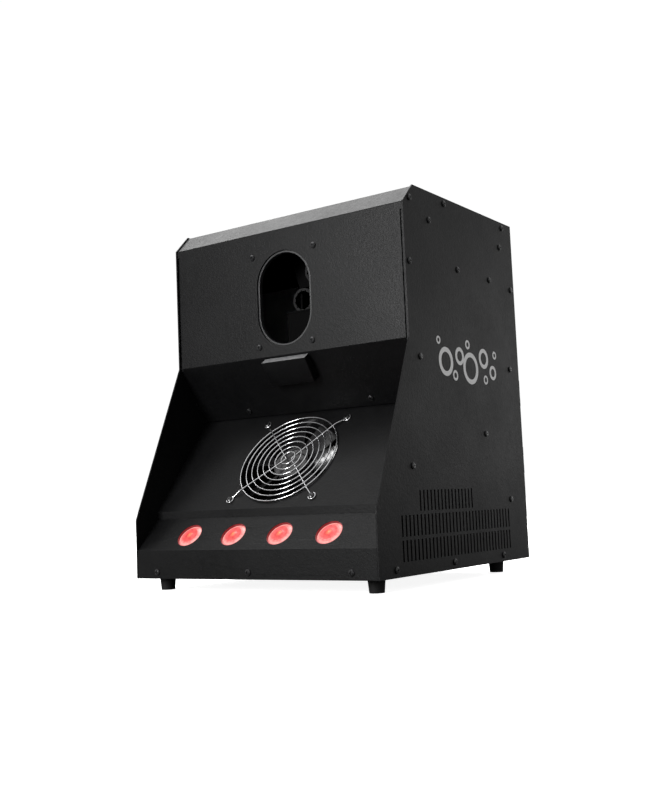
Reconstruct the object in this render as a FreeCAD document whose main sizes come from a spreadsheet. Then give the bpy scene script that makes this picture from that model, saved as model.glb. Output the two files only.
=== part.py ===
import FreeCAD, Part
import math
import os
import re
import Sketcher

# Fog and bubble machine in a steel case, millimetres.
# Row frame: +X right, +Y to the rear, +Z up, origin under the middle of the whole machine.
# Sizes inside the file are written in case coordinates: x from the middle, y from the front
# edges of the side panels, z from the bottom edge of the side panels.

Vector = FreeCAD.Vector
Rotation = FreeCAD.Rotation

doc = FreeCAD.newDocument("fog_bubble_machine")
sizes = doc.addObject("Spreadsheet::Sheet", "sizes")

driving = [
    # case
    ("case_width", "303", "over the side panels"),
    ("case_depth", "318", "front edge to rear face"),
    ("case_height", "384", "bottom edge to top edge"),
    ("sheet_thick", "1.5", "steel sheet"),
    ("cover_inset", "1.2", "cover lies this far inside the panel edges"),
    ("front_face_y", "73.3", "upper front face behind the front edges"),
    ("front_face_bottom", "228.2", "corner of the side panels under the upper front face"),
    ("cover_rise", "1.6", "lower bend of the cover above that corner"),
    ("wing_height", "61.3", "height of the front edge of a side panel"),
    ("top_chamfer", "20", "45 degree edge between front and top"),
    ("screw_head", "1.8", "height of a screw head"),
    ("lip_inset", "0.2", "front lip behind the front edges"),
    ("rear_reach", "14", "latch knob behind the rear face"),
    ("foot_height", "13", "rubber foot"),
    ("foot_top_radius", "8.5", ""),
    ("foot_bottom_radius", "7.2", ""),
    ("foot_x", "131.5", "feet to the left and right of the middle"),
    ("foot_front_y", "26", ""),
    ("foot_rear_y", "273", ""),
    # slopes
    ("lip_height", "29.2", "upright front lip"),
    ("led_slope_length", "43.9", ""),
    ("led_slope_angle", "45.8", "degrees"),
    ("step_height", "7.7", "step from the light bar up to the fan plate"),
    ("fan_slope_length", "131.3", ""),
    ("fan_slope_angle", "49.6", "degrees"),
    # side vents
    ("slot_width", "2.5", ""),
    ("slot_pitch", "7.075", ""),
    ("slot_first_y", "42.5", ""),
    ("slot_count_long", "33", "slots in the two long rows"),
    ("slot_count_short", "16", "slots in the top row"),
    ("slot_low_z", "13.5", ""),
    ("slot_mid_z", "36.7", ""),
    ("slot_top_z", "59.9", ""),
    ("slot_length", "20", ""),
    # bubble outlet
    ("outlet_z", "288.8", "middle of the opening"),
    ("outlet_radius", "33", "clear radius of the round ends"),
    ("outlet_straight", "31.4", "straight part between the round ends"),
    ("collar_wall", "2", ""),
    ("collar_depth", "5.3", ""),
    ("collar_gap", "0.6", "between the collar and the edge of the hole"),
    # hood over the fog outlet
    ("hood_width", "57", ""),
    ("hood_start", "4.2", "down the slope from the corner"),
    ("hood_length", "29", ""),
    ("hood_rise", "9", ""),
    ("nozzle_at", "17", "fog nozzle, down the slope"),
    # fan
    ("fan_at", "65.5", "fan centre, up the fan plate"),
    ("fan_size", "119", ""),
    ("fan_hole_pitch", "105", ""),
    ("fan_depth", "25.4", ""),
    ("fan_bore_radius", "57.5", ""),
    ("rotor_radius", "55", ""),
    ("hub_radius", "20", ""),
    ("guard_wire", "1.4", "wire diameter"),
    # lamps
    ("lamp_pitch", "58.8", ""),
    ("lamp_at", "20.5", "up the light bar slope"),
    ("lamp_hole_radius", "14.4", ""),
    # bubble wheel
    ("wheel_x", "41", ""),
    ("wheel_z", "288.7", ""),
    ("wheel_y", "100", "front of the wheel"),
    ("wheel_thick", "6", ""),
    ("wheel_ring_circle", "34.4", "ring centres"),
    ("wand_radius", "13", "outside of one ring"),
    ("wheel_shaft_radius", "3", ""),
    # blower
    ("blower_y", "215", ""),
    ("blower_z", "260", ""),
    ("blower_x0", "-11", ""),
    ("blower_x1", "23", ""),
    # rear
    ("door_x0", "14", ""),
    ("door_x1", "143", ""),
    ("door_z0", "40", ""),
    ("door_z1", "216", ""),
    ("hinge_x", "147.2", ""),
    ("hinge_reach", "3.4", "hinge pin behind the rear face"),
    ("hinge_low_z", "111", "middle of the lower hinge"),
    ("hinge_high_z", "188", "middle of the upper hinge"),
]
derived = [
    ("front_y", "=screw_head - lip_inset - (screw_head - lip_inset + case_depth + rear_reach) / 2"),
    ("side_x", "=case_width / 2 - sheet_thick"),
    ("led_top_y", "=led_slope_length * cos(led_slope_angle)"),
    ("led_top_z", "=lip_height + led_slope_length * sin(led_slope_angle)"),
    ("fan_foot_z", "=led_top_z + step_height"),
    ("fan_top_y", "=led_top_y + fan_slope_length * cos(fan_slope_angle)"),
    ("fan_top_z", "=fan_foot_z + fan_slope_length * sin(fan_slope_angle)"),
    ("under_rise", "=front_face_bottom + cover_rise - fan_top_z"),
    ("under_run", "=fan_top_y - front_face_y"),
    ("under_length", "=sqrt(under_rise ^ 2 + under_run ^ 2)"),
    ("under_angle", "=atan(under_rise / under_run) / 1 deg"),
    ("skin", "=cover_inset + sheet_thick"),
]
names = {}
for row, entry in enumerate(driving + derived, start=1):
    alias, content = entry[0], entry[1]
    names[alias] = row
    sizes.set(f"A{row}", alias)
    sizes.set(f"B{row}", content)
    sizes.set(f"C{row}", entry[2] if len(entry) > 2 else "worked out from the rows above")
    sizes.setAlias(f"B{row}", alias)
doc.recompute()


def link(text):
    """Put the sheet's name in front of every size named in an expression."""
    def whole(match):
        word = match.group(0)
        return "sizes." + word if word in names else word
    return re.sub(r"[a-z][a-z0-9_]*", whole, str(text))


def bind(piece, prop, text):
    piece.setExpression(prop, link(text))


def size(alias):
    value = sizes.get(alias)
    return float(getattr(value, "Value", value))


def move(piece, x, y, z, case=True):
    """Bind a position; case coordinates are shifted to the row frame."""
    bind(piece, "Placement.Base.x", x)
    bind(piece, "Placement.Base.y", f"front_y + ({y})" if case else y)
    bind(piece, "Placement.Base.z", f"foot_height + ({z})" if case else z)


def block(name, x, y, z, case=True):
    """Box from three (low, high) pairs."""
    piece = doc.addObject("Part::Box", name)
    for prop, span in (("Length", x), ("Width", y), ("Height", z)):
        bind(piece, prop, f"({span[1]}) - ({span[0]})")
    move(piece, x[0], y[0], z[0], case)
    return piece


turns = {"x": Rotation(Vector(0, 1, 0), 90), "y": Rotation(Vector(1, 0, 0), -90), "z": Rotation()}


def rod(name, radius, start, length, axis="z", case=True):
    """Cylinder that starts at a point and runs along +x, +y or +z."""
    piece = doc.addObject("Part::Cylinder", name)
    piece.Placement.Rotation = turns[axis]
    bind(piece, "Radius", radius)
    bind(piece, "Height", length)
    move(piece, *start, case)
    return piece


def cone(name, radius1, radius2, start, length, axis="z", case=True):
    piece = doc.addObject("Part::Cone", name)
    piece.Placement.Rotation = turns[axis]
    bind(piece, "Radius1", radius1)
    bind(piece, "Radius2", radius2)
    bind(piece, "Height", length)
    move(piece, *start, case)
    return piece


def join(name, pieces):
    """Fuse several overlapping solids into one."""
    piece = doc.addObject("Part::MultiFuse", name)
    piece.Shapes = pieces
    piece.Refine = True
    return piece


def cut(name, base, tools):
    """Take the tools away from the base."""
    tool = tools[0] if len(tools) == 1 else join(name + "_tools", tools)
    piece = doc.addObject("Part::Cut", name)
    piece.Base = base
    piece.Tool = tool
    piece.Refine = True
    return piece


def intersect(name, base, tool):
    piece = doc.addObject("Part::Common", name)
    piece.Base = base
    piece.Tool = tool
    return piece


def group(name, pieces):
    """Separate solids kept in one node."""
    piece = doc.addObject("Part::Compound", name)
    piece.Links = pieces
    return piece


slopes = {
    "led": ("0", "lip_height", "led_slope_angle"),
    "fan": ("led_top_y", "fan_foot_z", "fan_slope_angle"),
    "under": ("front_face_y", "front_face_bottom + cover_rise", "(360 - under_angle)"),
}


def on_slope(piece, slope, x, along, off):
    """Place a piece drawn flat on a slope: own Y runs along it, own Z leaves its surface."""
    start_y, start_z, angle = slopes[slope]
    turn = f"{angle} * 1 deg"
    piece.Placement.Rotation = Rotation(Vector(1, 0, 0), 10)
    bind(piece, "Placement.Rotation.Angle", turn)
    bind(piece, "Placement.Base.x", x)
    bind(piece, "Placement.Base.y",
         f"front_y + {start_y} + ({along}) * cos({turn}) - ({off}) * sin({turn})")
    bind(piece, "Placement.Base.z",
         f"foot_height + {start_z} + ({along}) * sin({turn}) + ({off}) * cos({turn})")
    return piece


def outline(sketch, points, closed=True):
    """Straight-sided outline whose corners are all driven by the sheet."""
    count = len(points)
    lines = count if closed else count - 1
    for i in range(lines):
        turn = 2 * math.pi * i / count
        after = 2 * math.pi * (i + 1) / count
        start = Vector(9 * math.cos(turn), 9 * math.sin(turn), 0)
        end = Vector(9 * math.cos(after), 9 * math.sin(after), 0)
        sketch.addGeometry(Part.LineSegment(start, end), False)
    for i in range(lines - 1):
        sketch.addConstraint(Sketcher.Constraint("Coincident", i, 2, i + 1, 1))
    if closed:
        sketch.addConstraint(Sketcher.Constraint("Coincident", lines - 1, 2, 0, 1))
    for i, corner in enumerate(points):
        line, end = (i, 1) if i < lines else (lines - 1, 2)
        for kind, text in zip(("DistanceX", "DistanceY"), corner):
            number = sketch.addConstraint(Sketcher.Constraint(kind, -1, 1, line, end, 1.0))
            sketch.setExpression(f"Constraints[{number}]", link(text))


def circles(sketch, spots, radius):
    """Round holes at sheet-driven centres."""
    for spot in spots:
        first = sketch.GeometryCount
        sketch.addGeometry(Part.Circle(Vector(5 * first + 5, 5, 0), Vector(0, 0, 1), 1), False)
        for kind, text in zip(("DistanceX", "DistanceY"), spot):
            number = sketch.addConstraint(Sketcher.Constraint(kind, -1, 1, first, 3, 1.0))
            sketch.setExpression(f"Constraints[{number}]", link(text))
        number = sketch.addConstraint(Sketcher.Constraint("Radius", first, 1.0))
        sketch.setExpression(f"Constraints[{number}]", link(radius))


def bent_sheet(name, points, width, offset):
    """Sheet metal: a line of bends in the side view, thickened and run across the case."""
    path = doc.addObject("Sketcher::SketchObject", name + "_path")
    path.Placement.Rotation = Rotation(Vector(1, 1, 1), 120)
    outline(path, [(f"front_y + ({y})", f"foot_height + ({z})") for y, z in points], closed=False)
    profile = doc.addObject("Part::Offset2D", name + "_profile")
    profile.Source = path
    profile.Mode = "Skin"
    profile.Join = "Arc"
    profile.Fill = True
    profile.Value = 1
    bind(profile, "Value", offset)
    piece = doc.addObject("Part::Extrusion", name + "_sheet")
    piece.Base = profile
    piece.DirMode = "Custom"
    piece.Dir = Vector(1, 0, 0)
    piece.Solid = True
    bind(piece, "LengthFwd", f"({width}) / 2")
    bind(piece, "LengthRev", f"({width}) / 2")
    return piece


def drills(name, spots, radius, start, length, axis="x"):
    """Round cutting tools through a wall; spots are the two other coordinates."""
    tools = []
    for i, (first, second) in enumerate(spots):
        place = {"x": (start, first, second), "y": (first, start, second), "z": (first, second, start)}
        tools.append(rod(f"{name}_{i}", radius, place[axis], length, axis))
    return tools


# side panels
side_spots = [
    ("86.1", "369.2"), ("157.3", "377.4"), ("294.2", "377.4"), ("123.6", "353.3"), ("285.4", "353.3"),
    ("80.6", "304.2"), ("180.7", "310.8"), ("254.7", "310.8"), ("309", "307"), ("93", "210.6"),
    ("294.8", "213.4"), ("226.4", "138.1"), ("68.4", "103"), ("278.8", "66.7"),
    ("30.1", "7.3"), ("141.4", "7.1"), ("252.3", "7"),
]
hole_radius = "1.9"


def body_sketch(body, name, plane="YZ_Plane"):
    sketch = body.newObject("Sketcher::SketchObject", name)
    for feature in body.Origin.OriginFeatures:
        if feature.Role == plane:
            sketch.AttachmentSupport = [(feature, "")]
    sketch.MapMode = "FlatFace"
    return sketch


def pocket_through(body, name, sketch, before):
    """Cut right through a panel that is padded away from its sketch plane."""
    doc.recompute()
    for flip in (False, True):
        piece = body.newObject("PartDesign::Pocket", name)
        piece.Profile = sketch
        piece.Type = "ThroughAll"
        piece.Reversed = flip
        doc.recompute()
        if "Invalid" not in piece.State and piece.Shape.Volume < before - 1:
            return piece
        body.removeObject(piece)
        doc.removeObject(piece.Name)
    raise RuntimeError(name)


def side_panel(label, left_x):
    body = doc.addObject("PartDesign::Body", label)
    drawing = body_sketch(body, label + "_outline")
    corners = [
        ("0", "0"), ("0", "wing_height"), ("front_face_y", "front_face_bottom"),
        ("front_face_y", "case_height - top_chamfer"),
        ("front_face_y + top_chamfer", "case_height"),
        ("case_depth", "case_height"), ("case_depth", "0"),
    ]
    outline(drawing, [(f"front_y + {y}", f"foot_height + {z}") for y, z in corners])
    doc.recompute()
    plate = body.newObject("PartDesign::Pad", label + "_plate")
    plate.Profile = drawing
    bind(plate, "Length", "sheet_thick")
    doc.recompute()
    volume = plate.Shape.Volume
    rounded = body.newObject("PartDesign::Fillet", label + "_corner")
    front, height = size("front_y"), size("foot_height") + size("wing_height")
    edges = []
    for i, edge in enumerate(plate.Shape.Edges, start=1):
        ends = [v.Point for v in edge.Vertexes]
        if all(abs(p.y - front) < 0.01 and abs(p.z - height) < 0.01 for p in ends):
            edges.append(f"Edge{i}")
    rounded.Base = (plate, edges)
    rounded.Radius = 8
    holes = body_sketch(body, label + "_holes")
    circles(holes, [(f"front_y + {y}", f"foot_height + {z}") for y, z in side_spots], hole_radius)
    doc.recompute()
    last = pocket_through(body, label + "_screw_holes", holes, rounded.Shape.Volume)
    rows = [
        ("low", "slot_low_z", "slot_first_y", "slot_count_long"),
        ("mid", "slot_mid_z", "slot_first_y", "slot_count_long"),
        ("top", "slot_top_z", "slot_first_y + 5 * slot_pitch", "slot_count_short"),
    ]
    for row, z, y, count in rows:
        slot = body_sketch(body, f"{label}_slot_{row}")
        y0 = f"front_y + {y}"
        y1 = f"front_y + {y} + slot_width"
        z0 = f"foot_height + {z}"
        z1 = f"foot_height + {z} + slot_length"
        outline(slot, [(y0, z0), (y1, z0), (y1, z1), (y0, z1)])
        first = pocket_through(body, f"{label}_vent_{row}", slot, last.Shape.Volume)
        repeat = body.newObject("PartDesign::LinearPattern", f"{label}_vents_{row}")
        repeat.Originals = [first]
        repeat.Direction = (slot, ["H_Axis"])
        bind(repeat, "Length", f"slot_pitch * ({count} - 1)")
        bind(repeat, "Occurrences", count)
        body.Tip = repeat
        doc.recompute()
        last = repeat
    assert last.Shape.Volume < volume
    bind(body, "Placement.Base.x", left_x)
    return body


panel_right = side_panel("side_panel_right", "side_x")
panel_left = side_panel("side_panel_left", "-case_width / 2")

# top and front cover
ramp = "skin * tan(22.5 deg)"
inner_y = "front_face_y + skin"
under_turn = "under_angle * 1 deg"
cover_path = [
    ("case_depth - sheet_thick - 0.3", "case_height - skin"),
    (f"front_face_y + top_chamfer + {ramp}", "case_height - skin"),
    (inner_y, f"case_height - top_chamfer - {ramp}"),
    (inner_y, f"front_face_bottom + cover_rise + sheet_thick * cos({under_turn})"
              f" - (skin - sheet_thick * sin({under_turn})) * tan({under_turn})"),
    (f"fan_top_y + sheet_thick * sin({under_turn}) - 1.6 * cos({under_turn})",
     f"fan_top_z + sheet_thick * cos({under_turn}) + 1.6 * sin({under_turn})"),
]
cover_sheet = bent_sheet("top_front_cover", cover_path, "2 * side_x", "sheet_thick")


def flanges(name, y, z):
    """A pair of upright flanges that lie against the two side panels."""
    return [
        block(name + "_left", ("-side_x", "sheet_thick - side_x"), y, z),
        block(name + "_right", ("side_x - sheet_thick", "side_x"), y, z),
    ]


cover_flanges = flanges("cover_top", ("96", "case_depth - sheet_thick - 0.3"),
                        ("case_height - 14", "case_height - skin + 0.4"))
cover_flanges += flanges("cover_front", (f"{inner_y} - 0.4", f"{inner_y} + 14"),
                         ("238", "case_height - top_chamfer - 1"))
cover_flanges += flanges("cover_corner", ("83", "98"), ("356", "370.5"))


def slope_flanges(name, slope, along, off):
    """The same pair of flanges, following a slope."""
    pair = []
    for side, x in (("left", "-side_x"), ("right", "side_x - sheet_thick")):
        flange = block(f"{name}_{side}", ("0", "sheet_thick"), ("0", f"({along[1]}) - ({along[0]})"),
                       ("0", f"({off[1]}) - ({off[0]})"), case=False)
        pair.append(on_slope(flange, slope, x, along[0], off[0]))
    return pair


cover_flanges += slope_flanges("cover_under", "under", ("9", "under_length - 25"), ("1", "14"))
cover_solid = join("top_front_cover_solid", [cover_sheet] + cover_flanges)


def stadium(name, radius, y, case=True):
    """Round-ended slot solid on the bubble outlet's middle line."""
    pieces = [
        rod(name + "_low", radius, ("0", y[0], "outlet_z - outlet_straight / 2"),
            f"({y[1]}) - ({y[0]})", "y"),
        rod(name + "_high", radius, ("0", y[0], "outlet_z + outlet_straight / 2"),
            f"({y[1]}) - ({y[0]})", "y"),
        block(name + "_mid", (f"-({radius})", radius), y,
              ("outlet_z - outlet_straight / 2", "outlet_z + outlet_straight / 2")),
    ]
    return join(name, pieces)


outlet_spots = [("-40.7", "338.2"), ("40.7", "338.2"), ("-35", "239.3"), ("35", "239.3")]
slope_spots = [("-81", "under_length - 10.2"), ("81", "under_length - 10.2")]
seams = [
    block("seam_left", ("-side_x - 0.2", "3 - side_x"), ("front_face_y", f"{inner_y} - 0.1"),
          ("front_face_bottom - 6", "case_height - top_chamfer - 8")),
    block("seam_right", ("side_x - 3", "side_x + 0.2"), ("front_face_y", f"{inner_y} - 0.1"),
          ("front_face_bottom - 6", "case_height - top_chamfer - 8")),
]
dish_hole = block("dish_hole", ("-58.3", "58.3"), ("176.7", "237.3"), ("case_height - 16", "case_height"))
nozzle_hole = on_slope(rod("nozzle_hole", "8", ("0", "0", "0"), "8", case=False),
                       "under", "0", "nozzle_at", "-3")


def slope_drills(name, slope, spots, radius, depth):
    tools = []
    for i, (x, along) in enumerate(spots):
        tool = rod(f"{name}_{i}", radius, ("0", "0", "0"), f"2 * {depth}", case=False)
        tools.append(on_slope(tool, slope, x, along, f"-{depth}"))
    return tools


cover = cut("top_front_cover", cover_solid,
            seams + [dish_hole, nozzle_hole]
            + [stadium("outlet_hole", "outlet_radius + collar_wall + collar_gap",
                       ("front_face_y - 1", "front_face_y + 9"))]
            + drills("cover_outlet_hole", outlet_spots, hole_radius, "front_face_y - 1", "8", "y")
            + slope_drills("cover_slope_hole", "under", slope_spots, hole_radius, "4")
            + drills("cover_side_hole", side_spots[:3] + side_spots[5:6] + side_spots[9:10],
                     hole_radius, "-case_width / 2", "case_width", "x"))

# fan plate
flange_turn = "(180 - under_angle) * 1 deg"
top_gain = "(sheet_thick + 0.05) / sin((fan_slope_angle + under_angle) * 1 deg)"
plate_top = (f"fan_top_y + {top_gain} * cos(fan_slope_angle * 1 deg)",
             f"fan_top_z + {top_gain} * sin(fan_slope_angle * 1 deg)")
fan_path = [
    ("led_top_y + 0.3", "led_top_z - 12"),
    ("led_top_y + 0.3", "fan_foot_z + 0.3 * tan(fan_slope_angle * 1 deg)"),
    plate_top,
    (f"{plate_top[0]} - 19 * cos({under_turn})", f"{plate_top[1]} + 19 * sin({under_turn})"),
]
fan_sheet = bent_sheet("fan_plate", fan_path, "2 * side_x - 0.4", "sheet_thick")
fan_corner = "fan_hole_pitch / 2"
fan_spots = [(f"{a} {fan_corner}", f"fan_at {b} {fan_corner}") for a in ("-", "") for b in ("-", "+")]
fan_flanges = slope_flanges("fan_plate_flange", "fan", ("6", "100"), ("-13", "-1"))
fan_plate = cut("fan_plate", join("fan_plate_solid", [fan_sheet] + fan_flanges),
                slope_drills("fan_plate_bore", "fan", [("0", "fan_at")], "fan_bore_radius", "6")
                + slope_drills("fan_plate_hole", "fan", fan_spots, "2.3", "6")
                + slope_drills("fan_plate_top_hole", "under", slope_spots, hole_radius, "6")
                + drills("fan_plate_side_hole", side_spots[12:13], hole_radius,
                         "-case_width / 2", "case_width", "x"))

# light bar
led_path = [("lip_inset", "0.3"), ("lip_inset", "lip_height"), ("led_top_y", "led_top_z")]
led_sheet = bent_sheet("led_bar", led_path, "2 * side_x - 0.6", "sheet_thick")
lamp_xs = ["-1.5 * lamp_pitch", "-0.5 * lamp_pitch", "0.5 * lamp_pitch", "1.5 * lamp_pitch"]
lip_spots = [("-121.5", "7"), ("0", "7"), ("121.5", "7")]
led_end = block("led_end_trim", ("-side_x", "side_x"), ("led_top_y + 0.15", "led_top_y + 5"),
                ("led_top_z - 8", "led_top_z + 4"))
led_bar = cut("led_bar", led_sheet,
              slope_drills("lamp_hole", "led", [(x, "lamp_at") for x in lamp_xs], "lamp_hole_radius", "5")
              + drills("lip_hole", lip_spots, hole_radius, "-1", "4", "y") + [led_end])

# base plate
base_solid = join("base_plate_solid", [
    block("base_floor", ("-side_x", "side_x"), ("1.8", "case_depth - 1.6"), ("0", "sheet_thick")),
    block("base_front", ("3 - side_x", "side_x - 3"), ("1.8", "3.3"), ("0", "15")),
    block("base_rear", ("3 - side_x", "side_x - 3"), ("case_depth - 3.1", "case_depth - 1.6"), ("0", "15")),
] + flanges("base_side", ("5", "case_depth - 5"), ("0", "13")))
foot_spots = [(f"{a} foot_x", b) for a in ("-", "") for b in ("foot_front_y", "foot_rear_y")]
base_plate = cut("base_plate", base_solid,
                 drills("foot_hole", foot_spots, "2", "-1", "4", "z")
                 + drills("base_lip_hole", lip_spots, hole_radius, "1", "4", "y")
                 + drills("base_side_hole", side_spots[14:], hole_radius,
                          "-case_width / 2", "case_width", "x"))

feet = []
foot_labels = ["foot_front_left", "foot_rear_left", "foot_front_right", "foot_rear_right"]
for label, (x, y) in zip(foot_labels, foot_spots):
    cushion = cone(label + "_rubber", "foot_bottom_radius", "foot_top_radius",
                   (x, y, "-foot_height"), "foot_height")
    stud = rod(label + "_stud", "1.9", (x, y, "-0.5"), "6.5")
    recess = rod(label + "_recess", "3.2", (x, y, "-foot_height - 1"), "6")
    feet.append(cut(label, join(label + "_solid", [cushion, stud]), [recess]))

# rear panel
inlet_x, inlet_z = "-118", "52"
switch_x, switch_z = "-118", "92"
socket_spots = [("-74", "52"), ("-36", "52")]
display_x, display_z = "-74", "150"
rear_y = ("case_depth - sheet_thick", "case_depth")
rear_solid = join("rear_panel_solid", [
    block("rear_sheet", ("0.2 - side_x", "side_x - 0.2"), rear_y, ("0.3", "case_height - cover_inset")),
] + flanges("rear_flange", ("case_depth - 15", "case_depth - 0.4"), ("232", "case_height - 20")))
rear_spots = [(f"{x} ", z) for x in ("-142", "142") for z in ("28", "340")] + [("0", "372"), ("0", "28")]
rear_through = ("case_depth - 4", "case_depth + 2")


def around(x, z, width, height):
    """x and z spans of a rectangle round a middle point."""
    return ((f"{x} - {width} / 2", f"{x} + {width} / 2"), (f"{z} - {height} / 2", f"{z} + {height} / 2"))


def panel_block(name, x, z, width, height, y):
    span_x, span_z = around(x, z, width, height)
    return block(name, span_x, y, span_z)


rear_cuts = [
    panel_block("inlet_hole", inlet_x, inlet_z, "27.6", "20.6", rear_through),
    panel_block("switch_hole", switch_x, switch_z, "27.6", "13.2", rear_through),
    panel_block("display_hole", display_x, display_z, "96.6", "42.6", rear_through),
    block("door_hole", ("door_x0 + 8", "door_x1 - 12"), rear_through, ("door_z0 + 8", "door_z1 - 8")),
]
rear_panel = cut("rear_panel", rear_solid,
                 rear_cuts + drills("socket_hole", socket_spots, "11.9", "case_depth - 4", "6", "y")
                 + drills("rear_hole", rear_spots, hole_radius, "case_depth - 4", "6", "y")
                 + drills("rear_side_hole", side_spots[8:9], hole_radius,
                          "-case_width / 2", "case_width", "x"))

# bubble outlet collar
collar_y0 = "front_face_y + cover_inset + 1.2"
collar_back = "front_face_y + skin + 0.1"
collar_solid = join("collar_solid", [
    stadium("collar_outside", "outlet_radius + collar_wall", (collar_y0, f"{collar_y0} + collar_depth")),
    block("collar_flange", ("-47", "47"), (collar_back, f"{collar_back} + 1.8"), ("231.5", "346")),
])
collar = cut("outlet_collar", collar_solid,
             [stadium("collar_inside", "outlet_radius", ("front_face_y", "front_face_y + 20"))]
             + drills("collar_hole", outlet_spots, hole_radius, "front_face_y + 1", "8", "y"))

# hood over the fog outlet
hood_box = block("hood_outside", ("-hood_width / 2", "hood_width / 2"), ("0", "hood_length"),
                 ("-hood_rise", "0"), case=False)
hood_inside = block("hood_inside", ("sheet_thick - hood_width / 2", "hood_width / 2 - sheet_thick"),
                    ("sheet_thick", "hood_length + 1"), ("sheet_thick - hood_rise", "1"), case=False)
hood = on_slope(cut("outlet_hood", hood_box, [hood_inside]), "under", "0", "hood_start", "-0.02")

# fan
fan_body = block("fan_square", ("-fan_size / 2", "fan_size / 2"), ("-fan_size / 2", "fan_size / 2"),
                 ("-fan_depth", "0"), case=False)
fan_shape = join("fan_tube_and_flanges", [
    intersect("fan_shell", fan_body, rod("fan_round", "fan_bore_radius + 2.5", ("0", "0", "-30"), "40",
                                         case=False)),
    block("fan_flange_front", ("-fan_size / 2", "fan_size / 2"), ("-fan_size / 2", "fan_size / 2"),
          ("-4", "0"), case=False),
    block("fan_flange_back", ("-fan_size / 2", "fan_size / 2"), ("-fan_size / 2", "fan_size / 2"),
          ("-fan_depth", "4 - fan_depth"), case=False),
])
fan_open = cut("fan_frame_open", fan_shape,
               [rod("fan_bore", "fan_bore_radius", ("0", "0", "-30"), "40", case=False)]
               + [rod(f"fan_corner_hole_{i}", "2.3", (f"{a} {fan_corner}", f"{b} {fan_corner}", "-30"),
                      "40", case=False) for i, (a, b) in
                  enumerate([("-", "-"), ("-", ""), ("", "-"), ("", "")])])
struts = []
for i in range(4):
    strut = block(f"fan_strut_{i}", ("-2.5", "2.5"), ("18", "fan_bore_radius + 1"),
                  ("-fan_depth", "3 - fan_depth"), case=False)
    strut.Placement.Rotation = Rotation(Vector(0, 0, 1), 45 + 90 * i)
    lift = math.radians(45 + 90 * i)
    bind(strut, "Placement.Base.x", f"-2.5 * {math.cos(lift):.6f} - 18 * {math.sin(lift):.6f}")
    bind(strut, "Placement.Base.y", f"-2.5 * {math.sin(lift):.6f} + 18 * {math.cos(lift):.6f}")
    struts.append(strut)
motor_cup = rod("fan_motor_cup", "21", ("0", "0", "-fan_depth"), "3.5", case=False)
motor_post = rod("fan_motor_post", "2", ("0", "0", "-fan_depth"), "17", case=False)
fan_frame = on_slope(join("fan_frame", [fan_open, motor_cup, motor_post] + struts),
                     "fan", "0", "fan_at", "-sheet_thick - 0.1")

hub = cut("rotor_hub", rod("rotor_cup", "hub_radius", ("0", "0", "4.2 - fan_depth"), "fan_depth - 7",
                           case=False),
          [rod("rotor_hollow", "hub_radius - 2", ("0", "0", "2 - fan_depth"), "fan_depth - 8", case=False)])
boss = cut("rotor_boss_ring", rod("rotor_boss", "4.5", ("0", "0", "5 - fan_depth"), "fan_depth - 8",
                                  case=False),
           [rod("rotor_bearing", "2.05", ("0", "0", "-fan_depth"), "17.2", case=False)])
blade_shape = doc.addObject("Part::Feature", "rotor_blades")
blades = []
for i in range(7):
    inner, outer = size("hub_radius") - 1.2, size("rotor_radius")
    deep = size("fan_depth")
    edges = []
    for radius, pitch in ((inner, 46), (outer, 24)):
        run = 17 if radius == inner else 25
        rise = math.radians(pitch)
        half_y, half_z = run / 2 * math.cos(rise), min(run / 2 * math.sin(rise), 7.4)
        middle = 3.6 - deep / 2 - 2.0
        edges.append([Vector(radius, -half_y, middle - half_z), Vector(radius, half_y, middle + half_z)])
    wires = []
    for start, end in edges:
        across = (end - start).normalize().cross(Vector(1, 0, 0)) * 0.8
        bow = (start + end) / 2 + across * 2.2
        lower = Part.Arc(start - across, bow - across, end - across).toShape()
        upper = Part.Arc(end + across, bow + across, start + across).toShape()
        wires.append(Part.Wire([lower, Part.LineSegment(end - across, end + across).toShape(), upper,
                                Part.LineSegment(start + across, start - across).toShape()]))
    blade = Part.makeLoft(wires, True, True)
    blade.rotate(Vector(), Vector(0, 0, 1), i * 360 / 7 + 12)
    blades.append(blade)
blade_shape.Shape = blades[0].multiFuse(blades[1:])
rotor = on_slope(join("fan_rotor", [hub, boss, blade_shape]), "fan", "0", "fan_at", "-sheet_thick - 0.1")

# Wire guard: rings, two bent cross wires and four eyelets.
guard_rings = [57.2, 50.3, 43.4, 36.6, 29.8, 22.8, 15.6, 8.2]
wire = size("guard_wire") / 2
level = 1.7
guard_bits = []
for radius in guard_rings:
    guard_bits.append(Part.makeTorus(radius, wire, Vector(0, 0, level)))


def wire_run(points, radius):
    """Round wire through a run of points, with ball-shaped corners."""
    shape = None
    for start, end in zip(points, points[1:]):
        along = end - start
        bar = Part.makeCylinder(radius, along.Length, start, along)
        shape = bar if shape is None else shape.fuse(bar)
    for corner in points[1:-1]:
        shape = shape.fuse(Part.makeSphere(radius, corner))
    return shape


pitch = size("fan_hole_pitch") / 2
for side in (-1, 1):
    eyes = [Vector(side * pitch, up * pitch, wire) for up in (1, -1)]
    points = []
    for eye in eyes:
        inward = Vector(-eye.x, -eye.y, 0).normalize()
        foot = eye + inward * 3.6
        knee = Vector(eye.x, eye.y, 0) + inward * 13 + Vector(0, 0, level + 2 * wire - 0.25)
        points.append([foot, knee])
    middle = Vector(side * 3.2, 0, level - 2 * wire + 0.25)
    guard_bits.append(wire_run(points[0] + [middle] + points[1][::-1], wire))
    for eye in eyes:
        guard_bits.append(Part.makeTorus(3.9, wire, eye))
guard_shape = guard_bits[0].multiFuse(guard_bits[1:])
guard = doc.addObject("Part::Feature", "fan_guard")
guard.Shape = guard_shape
on_slope(guard, "fan", "0", "fan_at", "0.05")

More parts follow.
